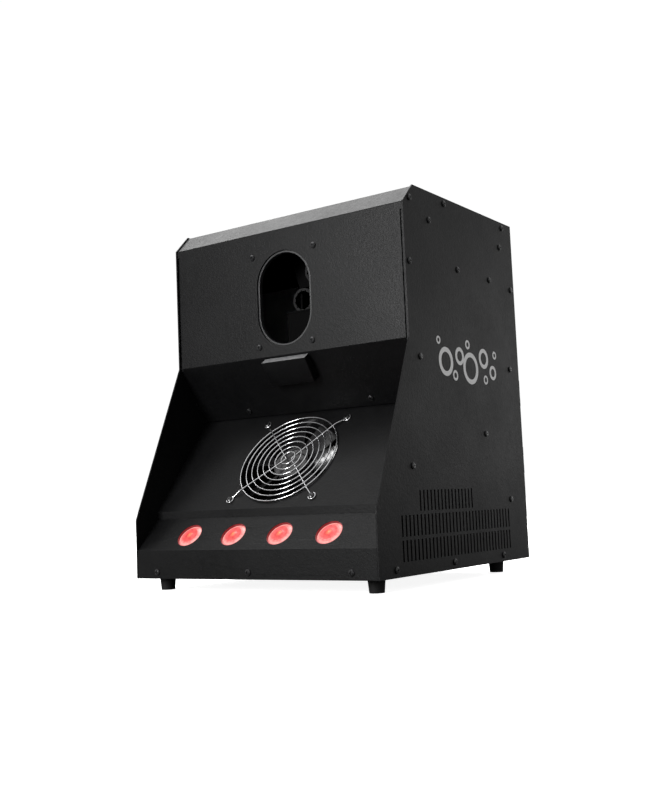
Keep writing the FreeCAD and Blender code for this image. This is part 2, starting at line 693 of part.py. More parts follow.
# lamps
lenses = []
for i, x in enumerate(lamp_xs, start=1):
    rim = rod(f"lens_{i}_rim", "17", ("0", "0", "-sheet_thick - 3.3"), "3", case=False)
    front = rod(f"lens_{i}_front", "lamp_hole_radius - 0.3", ("0", "0", "-sheet_thick - 2.4"), "1.6",
                case=False)
    cup = cone(f"lens_{i}_cup", "6.5", "13.8", ("0", "0", "-sheet_thick - 14"), "11", case=False)
    seat = rod(f"lens_{i}_seat", "4.2", ("0", "0", "-sheet_thick - 14.5"), "3.5", case=False)
    lens = cut(f"led_lens_{i}", join(f"lens_{i}_solid", [rim, front, cup]), [seat])
    lenses.append(on_slope(lens, "led", x, "lamp_at", "0"))
strip_parts = [block("strip_board", ("-112", "112"), ("-11", "11"), ("-17.8", "-16.2"), case=False),
               block("strip_heatsink", ("-112", "112"), ("-9", "9"), ("-21", "-17.8"), case=False)]
for i, x in enumerate(lamp_xs):
    strip_parts.append(block(f"strip_chip_{i}", (f"{x} - 2.6", f"{x} + 2.6"), ("-2.6", "2.6"),
                             ("-16.2", "-14.2"), case=False))
led_strip = on_slope(join("led_strip", strip_parts), "led", "0", "lamp_at", "0")

# bubble wheel, motor, tray
wheel_hub = rod("wheel_hub", "8", ("wheel_x", "wheel_y", "wheel_z"), "wheel_thick + 6", "y")
wheel_parts = [wheel_hub]
wheel_holes = [rod("wheel_shaft_hole", "wheel_shaft_radius + 0.02", ("wheel_x", "wheel_y + 2", "wheel_z"),
                   "20", "y")]
wheel_rings = 6
for i in range(wheel_rings):
    turn = math.radians(180 + 360 * i / wheel_rings)
    x = f"wheel_x + wheel_ring_circle * {math.cos(turn):.6f}"
    z = f"wheel_z + wheel_ring_circle * {math.sin(turn):.6f}"
    wheel_parts.append(rod(f"wand_ring_{i}", "wand_radius", (x, "wheel_y", z), "wheel_thick", "y"))
    wheel_holes.append(rod(f"wand_gap_{i}", "wand_radius - 3", (x, "wheel_y - 1", z), "wheel_thick + 2", "y"))
    for j in range(12):
        tooth = math.radians(30 * j + 10)
        tx = f"{x} + (wand_radius - 3) * {math.cos(tooth):.6f}"
        tz = f"{z} + (wand_radius - 3) * {math.sin(tooth):.6f}"
        wheel_holes.append(rod(f"flute_{i}_{j}", "0.95", (tx, "wheel_y - 1", tz), "wheel_thick + 2", "y"))
web = rod("wheel_web", "wheel_ring_circle - 6", ("wheel_x", "wheel_y + 2", "wheel_z"), "2", "y")
wheel = cut("bubble_wheel", join("wheel_solid", wheel_parts + [web]), wheel_holes)

motor_y = "wheel_y + wheel_thick + 14"
wheel_motor = join("wheel_motor", [
    rod("wheel_gearbox", "12.5", ("wheel_x", motor_y, "wheel_z"), "18", "y"),
    rod("wheel_motor_can", "12", ("wheel_x", f"{motor_y} + 17", "wheel_z"), "28", "y"),
    rod("wheel_motor_nose", "4", ("wheel_x", f"{motor_y} - 3", "wheel_z"), "4", "y"),
    rod("wheel_shaft", "wheel_shaft_radius", ("wheel_x", "wheel_y + 2.5", "wheel_z"), "30", "y"),
])
arm_drawing = doc.addObject("Sketcher::SketchObject", "wheel_bracket_drawing")
arm_drawing.Placement.Rotation = Rotation(Vector(1, 0, 0), 90)
outline(arm_drawing, [("24", "foot_height + 264"), ("64", "foot_height + 264"),
                      ("64", "foot_height + 346"), ("-17", "foot_height + 346"),
                      ("-17", "foot_height + 328"), ("-10", "foot_height + 306.5"),
                      ("24", "foot_height + 306.5")])
arm_plate = doc.addObject("Part::Extrusion", "wheel_bracket_plate")
arm_plate.Base = arm_drawing
arm_plate.DirMode = "Custom"
arm_plate.Dir = Vector(0, 1, 0)
arm_plate.Solid = True
bind(arm_plate, "LengthFwd", "2")
bind(arm_plate, "Placement.Base.y", f"front_y + {motor_y} - 2.2")
arm_foot = block("wheel_bracket_foot", ("-17", "64"), (f"{motor_y} - 2.2", f"{motor_y} + 14"),
                 ("344", "346"))
arm_hole = rod("wheel_bracket_hole", "4.3", ("wheel_x", f"{motor_y} - 6", "wheel_z"), "7", "y")
wheel_bracket = cut("wheel_bracket", join("wheel_bracket_solid", [arm_plate, arm_foot]), [arm_hole])

tray_out = block("tray_outside", ("-7.7", "94"), ("91", "113"), ("235", "276"))
tray_in = block("tray_inside", ("-5.7", "92"), ("93", "111"), ("237", "280"))
tray_rim = block("tray_rim", ("-9.5", "96"), ("90.2", "113.8"), ("274.2", "276"))
tray = cut("bubble_tray", join("tray_solid", [tray_out, tray_rim]), [tray_in])

# blower
scroll_radius = "46"
scroll = rod("scroll_outside", scroll_radius, ("blower_x0", "blower_y", "blower_z"),
             "blower_x1 - blower_x0", "x")
duct = block("duct_outside", ("blower_x0", "blower_x1"), ("120.2", "blower_y"), ("273", "305.9"))
scroll_inside = rod("scroll_inside", "44", ("blower_x0 + 2", "blower_y", "blower_z"),
                    "blower_x1 - blower_x0 - 4", "x")
duct_inside = block("duct_inside", ("blower_x0 + 2", "blower_x1 - 2"), ("117", "blower_y"), ("275", "303.9"))
intake = rod("blower_intake", "22", ("blower_x0 - 1", "blower_y", "blower_z"), "5", "x")
ears = [block(f"blower_ear_{i}", ("blower_x0", "blower_x1"), (y, f"{y} + 12"), ("296", "316.3"))
        for i, y in enumerate(("196", "226"))]
blower_housing = cut("blower_housing", join("blower_solid", [scroll, duct] + ears),
                     [scroll_inside, duct_inside, intake,
                      rod("blower_shaft_hole", "4.3", ("blower_x1 - 3", "blower_y", "blower_z"), "5", "x")])
impeller_disc = rod("impeller_disc", "36", ("blower_x1 - 6.5", "blower_y", "blower_z"), "2", "x")
impeller_ring = cut("impeller_ring", rod("impeller_ring_out", "37", ("blower_x0 + 5", "blower_y", "blower_z"),
                                         "3", "x"),
                    [rod("impeller_ring_in", "28", ("blower_x0 + 4", "blower_y", "blower_z"), "5", "x")])
impeller_parts = [impeller_disc, impeller_ring,
                  rod("impeller_hub", "6", ("blower_x1 - 16", "blower_y", "blower_z"), "11", "x")]
for i in range(20):
    turn = 2 * math.pi * i / 20
    vane = block(f"impeller_vane_{i}", ("0", "21.5"), ("-0.7", "0.7"), ("29", "35.8"), case=False)
    vane.Placement.Rotation = Rotation(Vector(1, 0, 0), 18 * i)
    y = -0.7 * math.cos(turn) - 29 * math.sin(turn)
    z = -0.7 * math.sin(turn) + 29 * math.cos(turn)
    move(vane, "blower_x0 + 6", f"blower_y + {y:.5f}", f"blower_z + {z:.5f}")
    impeller_parts.append(vane)
blower_rotor = cut("blower_rotor", join("impeller_solid", impeller_parts),
                   [rod("impeller_bore", "2.05", ("blower_x1 - 14", "blower_y", "blower_z"), "20", "x")])
blower_motor = join("blower_motor", [
    rod("blower_motor_can", "17", ("blower_x1 + 0.2", "blower_y", "blower_z"), "30", "x"),
    rod("blower_motor_nose", "4.1", ("blower_x1 - 2.5", "blower_y", "blower_z"), "4", "x"),
    rod("blower_motor_shaft", "2", ("blower_x1 - 13", "blower_y", "blower_z"), "14", "x"),
])
bridge_solid = join("blower_bridge_solid",
                    [block("bridge_deck", ("-side_x", "side_x"), ("172", "264"), ("316.5", "318"))]
                    + flanges("bridge_flange", ("172", "264"), ("304", "317")))
blower_bridge = cut("blower_bridge", bridge_solid,
                    drills("bridge_hole", side_spots[6:8], hole_radius, "-case_width / 2", "case_width"))
rails = []
for label, y in (("front", "123.6"), ("rear", "285.4")):
    rail = join(f"rail_{label}_solid",
                [block(f"rail_{label}_web", ("-side_x", "side_x"), (f"{y} - 8", f"{y} + 8"), ("358.5", "360"))]
                + flanges(f"rail_{label}_end", (f"{y} - 8", f"{y} + 8"), ("346.5", "359")))
    rails.append(cut(f"rail_{label}", rail, drills(f"rail_{label}_hole", [(y, "353.3")], hole_radius,
                                                   "-case_width / 2", "case_width")))
cross_rails = group("cross_rails", rails)

# fog heater, pump, hoses
heater = join("fog_heater", [
    block("heater_core", ("-112", "-32"), ("140", "262"), ("206", "252")),
    rod("heater_inlet", "5", ("-92", "262", "229"), "10", "y"),
    block("heater_leg_front", ("-108", "-36"), ("150", "156"), ("252", "316.3")),
    block("heater_leg_rear", ("-108", "-36"), ("246", "252"), ("252", "316.3")),
])


def sweep_pipe(name, points, radius, bend):
    """Round pipe or hose through a run of case points with rounded corners."""
    shift = Vector(0, size("front_y"), size("foot_height"))
    run = [Vector(*p) + shift for p in points]
    edges = []
    here = run[0]
    for before, corner, after in zip(run, run[1:], run[2:]):
        into = (corner - before).normalize()
        away = (after - corner).normalize()
        half = into.getAngle(away) / 2
        reach = bend * math.tan(half)
        start = corner - into * reach
        end = corner + away * reach
        middle_way = (away - into).normalize()
        middle = corner + middle_way * (bend / math.cos(half) - bend)
        edges.append(Part.LineSegment(here, start).toShape())
        edges.append(Part.Arc(start, middle, end).toShape())
        here = end
    edges.append(Part.LineSegment(here, run[-1]).toShape())
    path = Part.Wire(edges)
    direction = (run[1] - run[0]).normalize()
    mouth = Part.Wire([Part.makeCircle(radius, run[0], direction)])
    pipe = doc.addObject("Part::Feature", name)
    pipe.Shape = path.makePipeShell([mouth], True, False)
    return pipe


under = math.radians(size("under_angle"))
down = Vector(0, math.cos(under), -math.sin(under))
inward = Vector(0, math.sin(under), math.cos(under))
corner = Vector(0, size("front_face_y"), size("front_face_bottom") + size("cover_rise"))
mouth = corner + down * size("nozzle_at")
nozzle_run = [mouth - inward * 3, mouth + inward * 14]
nozzle_path = nozzle_run + [Vector(-30, 128, 222), Vector(-52, 128, 222), Vector(-52, 139.7, 222)]
fog_nozzle = sweep_pipe("fog_nozzle", [tuple(p) for p in nozzle_path], 5, 7)

pump_solid = [
    block("pump_yoke", ("-120", "-84"), ("168", "204"), ("1.6", "40")),
    rod("pump_barrel", "8", ("-102", "150", "24"), "72", "y"),
    rod("pump_inlet", "3.5", ("-102", "140", "24"), "12", "y"),
    rod("pump_outlet", "3.5", ("-102", "220", "24"), "12", "y"),
]
fog_pump = join("fog_pump", pump_solid)
fog_hose = sweep_pipe("fog_hose", [(-102, 232.2, 24), (-102, 290, 24), (-92, 290, 60), (-92, 290, 229),
                                   (-92, 272.2, 229)], 3, 6)

# tank bay and tank
bay = join("tank_bay_solid", [
    block("bay_floor", ("12", "side_x"), ("190", "case_depth - 1.8"), ("18", "19.5")),
    block("bay_roof", ("12", "side_x"), ("190", "case_depth - 1.8"), ("210", "211.5")),
    block("bay_left", ("12", "13.5"), ("190", "case_depth - 1.8"), ("18", "211.5")),
    block("bay_right", ("side_x - sheet_thick", "side_x"), ("190", "case_depth - 1.8"), ("18", "221.5")),
    block("bay_end", ("12", "side_x"), ("190", "191.5"), ("18", "211.5")),
])
tank_bay = cut("tank_bay", bay,
               drills("bay_hole", side_spots[10:12] + side_spots[13:14], hole_radius, "120", "40")
               + [rod("bay_hose_hole", "5", ("40", "185", "200"), "10", "y")])
tank_y = ("200", "306")
tank_solid = join("tank_solid", [
    block("tank_box", ("24", "138"), tank_y, ("20", "150")),
    rod("tank_neck", "16", ("100", "253", "148"), "14"),
    block("tank_grip_post_a", ("32", "44"), ("240", "266"), ("148", "170")),
    block("tank_grip_post_b", ("66", "78"), ("240", "266"), ("148", "170")),
    block("tank_grip_bar", ("32", "78"), ("240", "266"), ("165", "177")),
])
fog_tank = cut("fog_tank", tank_solid, [
    block("tank_hollow", ("26.5", "135.5"), ("202.5", "303.5"), ("22.5", "147.5")),
    rod("tank_throat", "13.5", ("100", "253", "140"), "30"),
])
cap_skirt = rod("cap_skirt", "20", ("100", "253", "150.6"), "15.4")
cap_hollow = rod("cap_hollow", "16.4", ("100", "253", "150"), "12.4")
grips = []
for i in range(12):
    turn = 2 * math.pi * i / 12
    grips.append(rod(f"cap_groove_{i}", "1.6", (f"100 + 20.4 * {math.cos(turn):.5f}",
                                                f"253 + 20.4 * {math.sin(turn):.5f}", "150"), "18"))
tank_cap = cut("fog_tank_cap", cap_skirt, [cap_hollow, rod("cap_hose_hole", "3.6", ("100", "253", "160"), "9")]
               + grips)
suction_hose = sweep_pipe("suction_hose", [(100, 253, 30), (100, 253, 200), (40, 253, 200), (40, 168, 200),
                                           (-70, 168, 200), (-70, 130, 200), (-70, 130, 24), (-102, 130, 24),
                                           (-102, 139.8, 24)], 3, 6)

# rear door
door_skin = block("door_skin", ("door_x0", "hinge_x - 4"), ("case_depth + 2.2", "case_depth + 3.7"),
                  ("door_z0", "door_z1"))
door_rims = [
    block("door_rim_left", ("door_x0", "door_x0 + 1.5"), ("case_depth + 0.4", "case_depth + 3"),
          ("door_z0", "door_z1")),
    block("door_rim_low", ("door_x0", "hinge_x - 12"), ("case_depth + 0.4", "case_depth + 3"),
          ("door_z0", "door_z0 + 1.5")),
    block("door_rim_high", ("door_x0", "hinge_x - 12"), ("case_depth + 0.4", "case_depth + 3"),
          ("door_z1 - 1.5", "door_z1")),
]
pin_y = "case_depth + hinge_reach"
door_knuckles = []
leaf_parts = []
for level_name, z in (("low", "hinge_low_z"), ("high", "hinge_high_z")):
    for part, low, high in (("a", "-15", "-5.1"), ("b", "5.1", "15")):
        door_knuckles.append(rod(f"door_knuckle_{level_name}_{part}", "2.7",
                                 ("hinge_x", pin_y, f"{z} + ({low})"), f"({high}) - ({low})"))
        door_knuckles.append(block(f"door_tab_{level_name}_{part}", ("hinge_x - 5", "hinge_x"),
                                   ("case_depth + 2.6", "case_depth + 3.7"),
                                   (f"{z} + ({low})", f"{z} + ({high})")))
    leaf = join(f"hinge_leaf_{level_name}", [
        rod(f"hinge_knuckle_{level_name}", "2.7", ("hinge_x", pin_y, f"{z} - 5"), "10"),
        rod(f"hinge_pin_{level_name}", "1.3", ("hinge_x", pin_y, f"{z} - 14.5"), "29"),
        block(f"hinge_plate_{level_name}", ("hinge_x - 18", "hinge_x + 1"), ("case_depth", "case_depth + 1.4"),
              (f"{z} - 5", f"{z} + 5")),
    ])
    leaf_parts.append(leaf)
pin_bores = [rod(f"door_bore_{i}", "1.35", ("hinge_x", pin_y, f"{z} - 20"), "40")
             for i, z in enumerate(("hinge_low_z", "hinge_high_z"))]
leaf_gaps = [block(f"door_gap_{i}", ("hinge_x - 6", "hinge_x + 4"), ("case_depth", "case_depth + 7"),
                   (f"{z} - 5.1", f"{z} + 5.1")) for i, z in enumerate(("hinge_low_z", "hinge_high_z"))]
latch_x, latch_z = "door_x0 + 13", "128"
tank_door = cut("tank_door", join("tank_door_solid", [door_skin] + door_rims + door_knuckles),
                pin_bores + leaf_gaps
                + [rod("latch_hole", "4.05", (latch_x, "case_depth", latch_z), "6", "y")])
door_hinges = group("door_hinges", leaf_parts)
door_latch = join("door_latch", [
    rod("latch_shaft", "4", (latch_x, "case_depth - 2.4", latch_z), "8", "y"),
    rod("latch_knob", "9", (latch_x, "case_depth + 4", latch_z), "3", "y"),
    block("latch_grip", (f"{latch_x} - 2", f"{latch_x} + 2"), ("case_depth + 6", "case_depth + rear_reach"),
          (f"{latch_z} - 8", f"{latch_z} + 8")),
    block("latch_tongue", (f"{latch_x} - 4", f"{latch_x} + 4"), ("case_depth - 4", "case_depth - 1.9"),
          (f"{latch_z} - 4", f"{latch_z} + 10")),
])

# handle in the top
dish_top = "case_height - cover_inset"
dish = cut("handle_dish", join("handle_dish_solid", [
    block("dish_flange", ("-64", "64"), ("171", "243"), (f"{dish_top}", f"{dish_top} + 1.2")),
    block("dish_body", ("-58", "58"), ("177", "237"), (f"{dish_top} - 14", f"{dish_top} + 0.5")),
]), [
    block("dish_hollow", ("-56.5", "56.5"), ("178.5", "235.5"), (f"{dish_top} - 12.5", f"{dish_top} + 5")),
    rod("dish_pin_hole", "2.55", ("-60", "184", f"{dish_top} - 5.5"), "120", "x"),
])
grip_level = f"{dish_top} - 5.5"
carry_handle = join("carry_handle", [
    rod("handle_bar", "4.2", ("-52.4", "222", grip_level), "104.8", "x"),
    rod("handle_arm_left", "3", ("-48.8", "184", grip_level), "38", "y"),
    rod("handle_arm_right", "3", ("48.8", "184", grip_level), "38", "y"),
    rod("handle_pin_left", "2.5", ("-57.8", "184", grip_level), "9", "x"),
    rod("handle_pin_right", "2.5", ("48.8", "184", grip_level), "9", "x"),
    rod("handle_eye_left", "4.5", ("-52.6", "184", grip_level), "7.2", "x"),
    rod("handle_eye_right", "4.5", ("45.4", "184", grip_level), "7.2", "x"),
])

# electrics
power_supply = join("power_supply", [
    block("supply_board", ("-56", "4"), ("196", "296"), ("10", "11.6")),
    block("supply_transformer", ("-44", "-10"), ("230", "266"), ("11.6", "38")),
    block("supply_heatsink", ("-52", "-48"), ("204", "288"), ("11.6", "36")),
    rod("supply_capacitor", "9", ("-18", "214", "11.6"), "28"),
    block("supply_coil", ("-42", "-24"), ("274", "292"), ("11.6", "28")),
] + [rod(f"supply_post_{i}", "2.5", (x, y, "1.6"), "9")
     for i, (x, y) in enumerate([("-52", "200"), ("0", "200"), ("-52", "292"), ("0", "292")])])
board_y = "case_depth - 16"
control_board = join("control_board", [
    panel_block("board_sheet", display_x, display_z, "100", "46", (board_y, f"{board_y} + 1.6")),
    panel_block("board_display", "-92", "154", "46", "20",
                (f"{board_y} + 1.6", f"{board_y} + 12")),
] + [rod(f"board_switch_{i}", "2.4", (x, f"{board_y} + 1", z), "7.8", "y")
     for i, (x, z) in enumerate([("-58", "160"), ("-38", "160"), ("-58", "142"), ("-38", "142")])])
button_spots = {"menu": ("-58", "160"), "up": ("-38", "160"), "down": ("-58", "142"), "enter": ("-38", "142")}
bezel_solid = join("control_frame_solid", [
    panel_block("bezel_plate", display_x, display_z, "104", "50", ("case_depth + 0.05", "case_depth + 2")),
    panel_block("bezel_plug", display_x, display_z, "96", "42", ("case_depth - 2.2", "case_depth + 1")),
])
control_frame = cut("control_frame", bezel_solid,
                    [panel_block("bezel_window", "-92", "154", "46.8", "20.8",
                                 ("case_depth - 4", "case_depth + 1.2")),
                     panel_block("bezel_view", "-92", "154", "42", "16", ("case_depth - 4", "case_depth + 4"))]
                    + drills("bezel_button_hole", list(button_spots.values()), "5.05", "case_depth - 4",
                             "8", "y"))
buttons = []
for label, (x, z) in button_spots.items():
    buttons.append(join(f"button_{label}", [
        rod(f"{label}_cap", "5", (x, "case_depth - 4.5", z), "8.5", "y"),
        rod(f"{label}_collar", "6.2", (x, "case_depth - 4.5", z), "1.4", "y"),
    ]))
mains_inlet = cut("mains_inlet", join("inlet_solid", [
    panel_block("inlet_flange", inlet_x, inlet_z, "32", "26", ("case_depth + 0.05", "case_depth + 3")),
    panel_block("inlet_body", inlet_x, inlet_z, "27", "20", ("case_depth - 20", "case_depth + 1")),
]), [panel_block("inlet_socket", inlet_x, inlet_z, "24.2", "16.6", ("case_depth - 15", "case_depth + 5"))])
pin_parts = [panel_block(f"inlet_pin_{i}", f"{inlet_x} + ({dx})", f"{inlet_z} + ({dz})", "2", "4",
                         ("case_depth - 15.5", "case_depth - 2.5"))
             for i, (dx, dz) in enumerate([("-7", "-2"), ("7", "-2"), ("0", "2")])]
mains_inlet = join("mains_inlet_whole", [mains_inlet] + pin_parts)
power_switch = cut("power_switch", join("switch_solid", [
    panel_block("switch_flange", switch_x, switch_z, "31", "16", ("case_depth + 0.05", "case_depth + 2")),
    panel_block("switch_body", switch_x, switch_z, "27", "12.6", ("case_depth - 22", "case_depth + 1")),
]), [panel_block("switch_well", switch_x, switch_z, "22.4", "10.4", ("case_depth - 10", "case_depth + 4")),
     rod("switch_pivot_hole", "1.55", (f"{switch_x}", "case_depth - 3", f"{switch_z} - 5.6"), "11.2")])
rocker_drawing = doc.addObject("Sketcher::SketchObject", "rocker_drawing")
outline(rocker_drawing, [("-9.2", "-2"), ("0", "-4.2"), ("9.2", "-2"), ("9.2", "7.2"), ("0", "4.6"),
                         ("-9.2", "3.4")])
rocker_body = doc.addObject("Part::Extrusion", "rocker_body")
rocker_body.Base = rocker_drawing
rocker_body.DirMode = "Custom"
rocker_body.Dir = Vector(0, 0, 1)
rocker_body.Solid = True
bind(rocker_body, "LengthFwd", "9.6")
move(rocker_body, switch_x, "case_depth - 3", f"{switch_z} - 4.8")
switch_rocker = join("switch_rocker", [
    rocker_body, rod("rocker_pin", "1.5", (switch_x, "case_depth - 3", f"{switch_z} - 5.5"), "11")])

sockets = []
for label, (x, z), female in (("dmx_input", socket_spots[0], False), ("dmx_output", socket_spots[1], True)):
    plate = panel_block(f"{label}_plate", x, z, "26", "31", ("case_depth + 0.05", "case_depth + 1.6"))
    barrel = rod(f"{label}_barrel", "11.6", (x, "case_depth - 22", z), "22.8", "y")
    shell = join(f"{label}_shell", [plate, barrel])
    if female:
        holes = [rod(f"{label}_ring", "9.6", (x, "case_depth - 15", z), "20", "y")]
        core = rod(f"{label}_core", "7.4", (x, "case_depth - 16", z), "15", "y")
        contacts = [rod(f"{label}_contact_{i}", "1.4",
                        (f"{x} + {4 * math.cos(a):.4f}", "case_depth - 12", f"{z} + {4 * math.sin(a):.4f}"),
                        "16", "y") for i, a in enumerate((math.pi / 2, math.pi * 7 / 6, math.pi * 11 / 6))]
        sockets.append(join(label, [cut(f"{label}_open", shell, holes), cut(f"{label}_insert", core, contacts)]))
    else:
        hollow = rod(f"{label}_hollow", "9.6", (x, "case_depth - 15", z), "20", "y")
        pins = [rod(f"{label}_pin_{i}", "1.2",
                    (f"{x} + {4 * math.cos(a):.4f}", "case_depth - 16", f"{z} + {4 * math.sin(a):.4f}"),
                    "10.5", "y") for i, a in enumerate((-math.pi / 2, math.pi / 6, math.pi * 5 / 6))]
        sockets.append(join(label, [cut(f"{label}_open", shell, [hollow])] + pins))

# screws
def screw_shape():
    """Pan head with a cross recess; the head's underside is at 0 and faces down."""
    high = size("screw_head")
    head = Part.makeCylinder(3.3, high, Vector(0, 0, 0))
    dome = Part.makeSphere(5.2, Vector(0, 0, high - 4.85))
    head = head.common(dome)
    for angle in (0, 90):
        slot = Part.makeBox(0.8, 3.2, 1.3, Vector(-0.4, -1.6, high - 1.1))
        slot.rotate(Vector(), Vector(0, 0, 1), angle)
        head = head.cut(slot)
    return head.fuse(Part.makeCylinder(1.8, 3.1, Vector(0, 0, -3.0)))


screw = screw_shape()
front_y = size("front_y")
base_z = size("foot_height")


def placed(spot, normal):
    """A copy of the screw whose head stands along the normal."""
    copy = screw.copy()
    copy.Placement = FreeCAD.Placement(spot, Rotation(Vector(0, 0, 1), normal))
    return copy


def screw_node(name, copies):
    node = doc.addObject("Part::Feature", name)
    node.Shape = Part.makeCompound(copies)
    return node


side_copies = []
for y, z in side_spots:
    for side in (-1, 1):
        spot = Vector(side * size("case_width") / 2, front_y + float(y), base_z + float(z))
        side_copies.append(placed(spot, Vector(side, 0, 0)))
face_y = front_y + size("front_face_y") + size("cover_inset")
front_copies = [placed(Vector(float(x), front_y + size("lip_inset"), base_z + float(z)), Vector(0, -1, 0))
                for x, z in lip_spots]
front_copies += [placed(Vector(float(x), face_y, base_z + float(z)), Vector(0, -1, 0))
                 for x, z in outlet_spots]
row_shift = Vector(0, front_y, base_z)
for x in (-81, 81):
    spot = corner + row_shift + down * (size("under_length") - 10.2) + Vector(x, 0, 0)
    front_copies.append(placed(spot, -inward))
rear_copies = [placed(Vector(float(x), front_y + size("case_depth"), base_z + float(z)), Vector(0, 1, 0))
               for x, z in rear_spots]
side_screws = screw_node("side_screws", side_copies)
front_screws = screw_node("front_screws", front_copies)
rear_screws = screw_node("rear_screws", rear_copies)
fan_slope = math.radians(size("fan_slope_angle"))
fan_out = Vector(0, -math.sin(fan_slope), math.cos(fan_slope))
fan_up = Vector(0, math.cos(fan_slope), math.sin(fan_slope))
fan_middle = Vector(0, size("led_top_y"), size("fan_foot_z")) + row_shift + fan_up * size("fan_at")
guard_copies = []
for a in (-1, 1):
    for b in (-1, 1):
        spot = fan_middle + Vector(a * pitch, 0, 0) + fan_up * (b * pitch) + fan_out * (2 * wire + 0.1)
        guard_copies.append(placed(spot, fan_out))
fan_screws = screw_node("fan_screws", guard_copies)

# write every node
nodes = {
    "side_panel_right": panel_right, "side_panel_left": panel_left, "top_front_cover": cover,
    "fan_plate": fan_plate, "led_bar": led_bar, "base_plate": base_plate, "rear_panel": rear_panel,
    "outlet_collar": collar, "outlet_hood": hood, "handle_dish": dish, "carry_handle": carry_handle,
    "fan_guard": guard, "fan_frame": fan_frame, "fan_rotor": rotor, "led_strip": led_strip,
    "bubble_wheel": wheel, "wheel_motor": wheel_motor, "wheel_bracket": wheel_bracket,
    "bubble_tray": tray, "blower_housing": blower_housing, "blower_rotor": blower_rotor,
    "blower_motor": blower_motor, "blower_bridge": blower_bridge, "cross_rails": cross_rails,
    "fog_heater": heater, "fog_nozzle": fog_nozzle, "fog_pump": fog_pump, "fog_hose": fog_hose,
    "suction_hose": suction_hose, "tank_bay": tank_bay, "fog_tank": fog_tank, "fog_tank_cap": tank_cap,
    "tank_door": tank_door, "door_hinges": door_hinges, "door_latch": door_latch,
    "power_supply": power_supply, "control_board": control_board, "control_frame": control_frame,
    "mains_inlet": mains_inlet, "power_switch": power_switch, "switch_rocker": switch_rocker,
    "dmx_input": sockets[0], "dmx_output": sockets[1], "side_screws": side_screws,
    "front_screws": front_screws, "rear_screws": rear_screws, "fan_screws": fan_screws,
}
for label, foot in zip(foot_labels, feet):
    nodes[label] = foot
for i, lens in enumerate(lenses, start=1):
    nodes[f"led_lens_{i}"] = lens
for label, button in zip(button_spots, buttons):
    nodes[f"button_{label}"] = button

for label, piece in nodes.items():
    piece.Label = label
doc.recompute()
os.makedirs("parts", exist_ok=True)
for item in doc.Objects:
    if "Invalid" in item.State or "Error" in item.State:
        raise RuntimeError(f"{item.Name}: {item.State}")
faults = []
for label, piece in nodes.items():
    shape = piece.Shape
    if shape.isNull() or not shape.isValid() or not shape.Solids:
        faults.append(label)
        continue
    shape.exportStep(f"parts/{label}.step")
    box = shape.BoundBox
    print(f"{label:18s} solids {len(shape.Solids):3d}  x {box.XMin:8.2f} {box.XMax:8.2f}"
          f"  y {box.YMin:8.2f} {box.YMax:8.2f}  z {box.ZMin:8.2f} {box.ZMax:8.2f}")
if faults:
    raise RuntimeError("no valid solid: " + ", ".join(faults))
print(len(nodes), "nodes")
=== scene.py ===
import math
import bpy
from mathutils import Matrix, Vector


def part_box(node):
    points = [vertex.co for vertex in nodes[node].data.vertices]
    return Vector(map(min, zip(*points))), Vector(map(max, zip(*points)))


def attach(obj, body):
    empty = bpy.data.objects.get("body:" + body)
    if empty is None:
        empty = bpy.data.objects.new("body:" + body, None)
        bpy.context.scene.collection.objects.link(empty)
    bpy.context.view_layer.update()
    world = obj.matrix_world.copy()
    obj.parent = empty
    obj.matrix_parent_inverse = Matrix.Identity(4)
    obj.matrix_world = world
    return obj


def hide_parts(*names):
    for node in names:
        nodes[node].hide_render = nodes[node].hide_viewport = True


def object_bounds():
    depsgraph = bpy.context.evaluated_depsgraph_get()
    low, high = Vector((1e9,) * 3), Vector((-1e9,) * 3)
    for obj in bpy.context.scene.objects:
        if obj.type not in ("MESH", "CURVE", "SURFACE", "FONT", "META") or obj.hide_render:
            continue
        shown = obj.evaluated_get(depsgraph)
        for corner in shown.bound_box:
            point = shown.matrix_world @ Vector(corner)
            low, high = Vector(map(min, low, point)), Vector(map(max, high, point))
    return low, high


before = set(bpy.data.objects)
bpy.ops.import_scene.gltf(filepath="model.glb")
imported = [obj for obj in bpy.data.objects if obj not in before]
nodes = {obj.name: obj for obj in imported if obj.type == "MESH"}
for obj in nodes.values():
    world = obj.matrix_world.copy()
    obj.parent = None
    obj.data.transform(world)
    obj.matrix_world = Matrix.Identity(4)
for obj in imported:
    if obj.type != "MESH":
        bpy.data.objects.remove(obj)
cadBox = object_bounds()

mm = 0.001


def deselect():
    if bpy.context.object and bpy.context.object.mode != "OBJECT":
        bpy.ops.object.mode_set(mode="OBJECT")
    bpy.ops.object.select_all(action="DESELECT")


def activate(piece):
    deselect()
    piece.select_set(True)
    bpy.context.view_layer.objects.active = piece


def settle(piece, place=None):
    if place is not None:
        piece.matrix_world = place @ piece.matrix_world
    activate(piece)
    bpy.ops.object.transform_apply(location=True, rotation=True, scale=True)
    return piece


def applyModifiers(piece):
    activate(piece)
    for modifier in list(piece.modifiers):
        bpy.ops.object.modifier_apply(modifier=modifier.name)


def bevelPiece(piece, width, segments=2):
    rounding = piece.modifiers.new("rounding", "BEVEL")
    rounding.width = width
    rounding.segments = segments
    applyModifiers(piece)


def selectFaces(piece, wanted):      # leaves edit mode on, with the wanted faces selected
    activate(piece)
    bpy.ops.object.mode_set(mode="EDIT")
    bpy.ops.mesh.select_all(action="DESELECT")
    bpy.ops.mesh.select_mode(type="FACE")
    bpy.ops.object.mode_set(mode="OBJECT")
    for face in piece.data.polygons:
        face.select = wanted(face)
    bpy.ops.object.mode_set(mode="EDIT")


def joinPieces(name, pieces):
    deselect()
    for piece in pieces:
        piece.select_set(True)
    bpy.context.view_layer.objects.active = pieces[0]
    bpy.ops.object.join()
    whole = bpy.context.object
    whole.name = name
    whole.data.name = name
    return whole


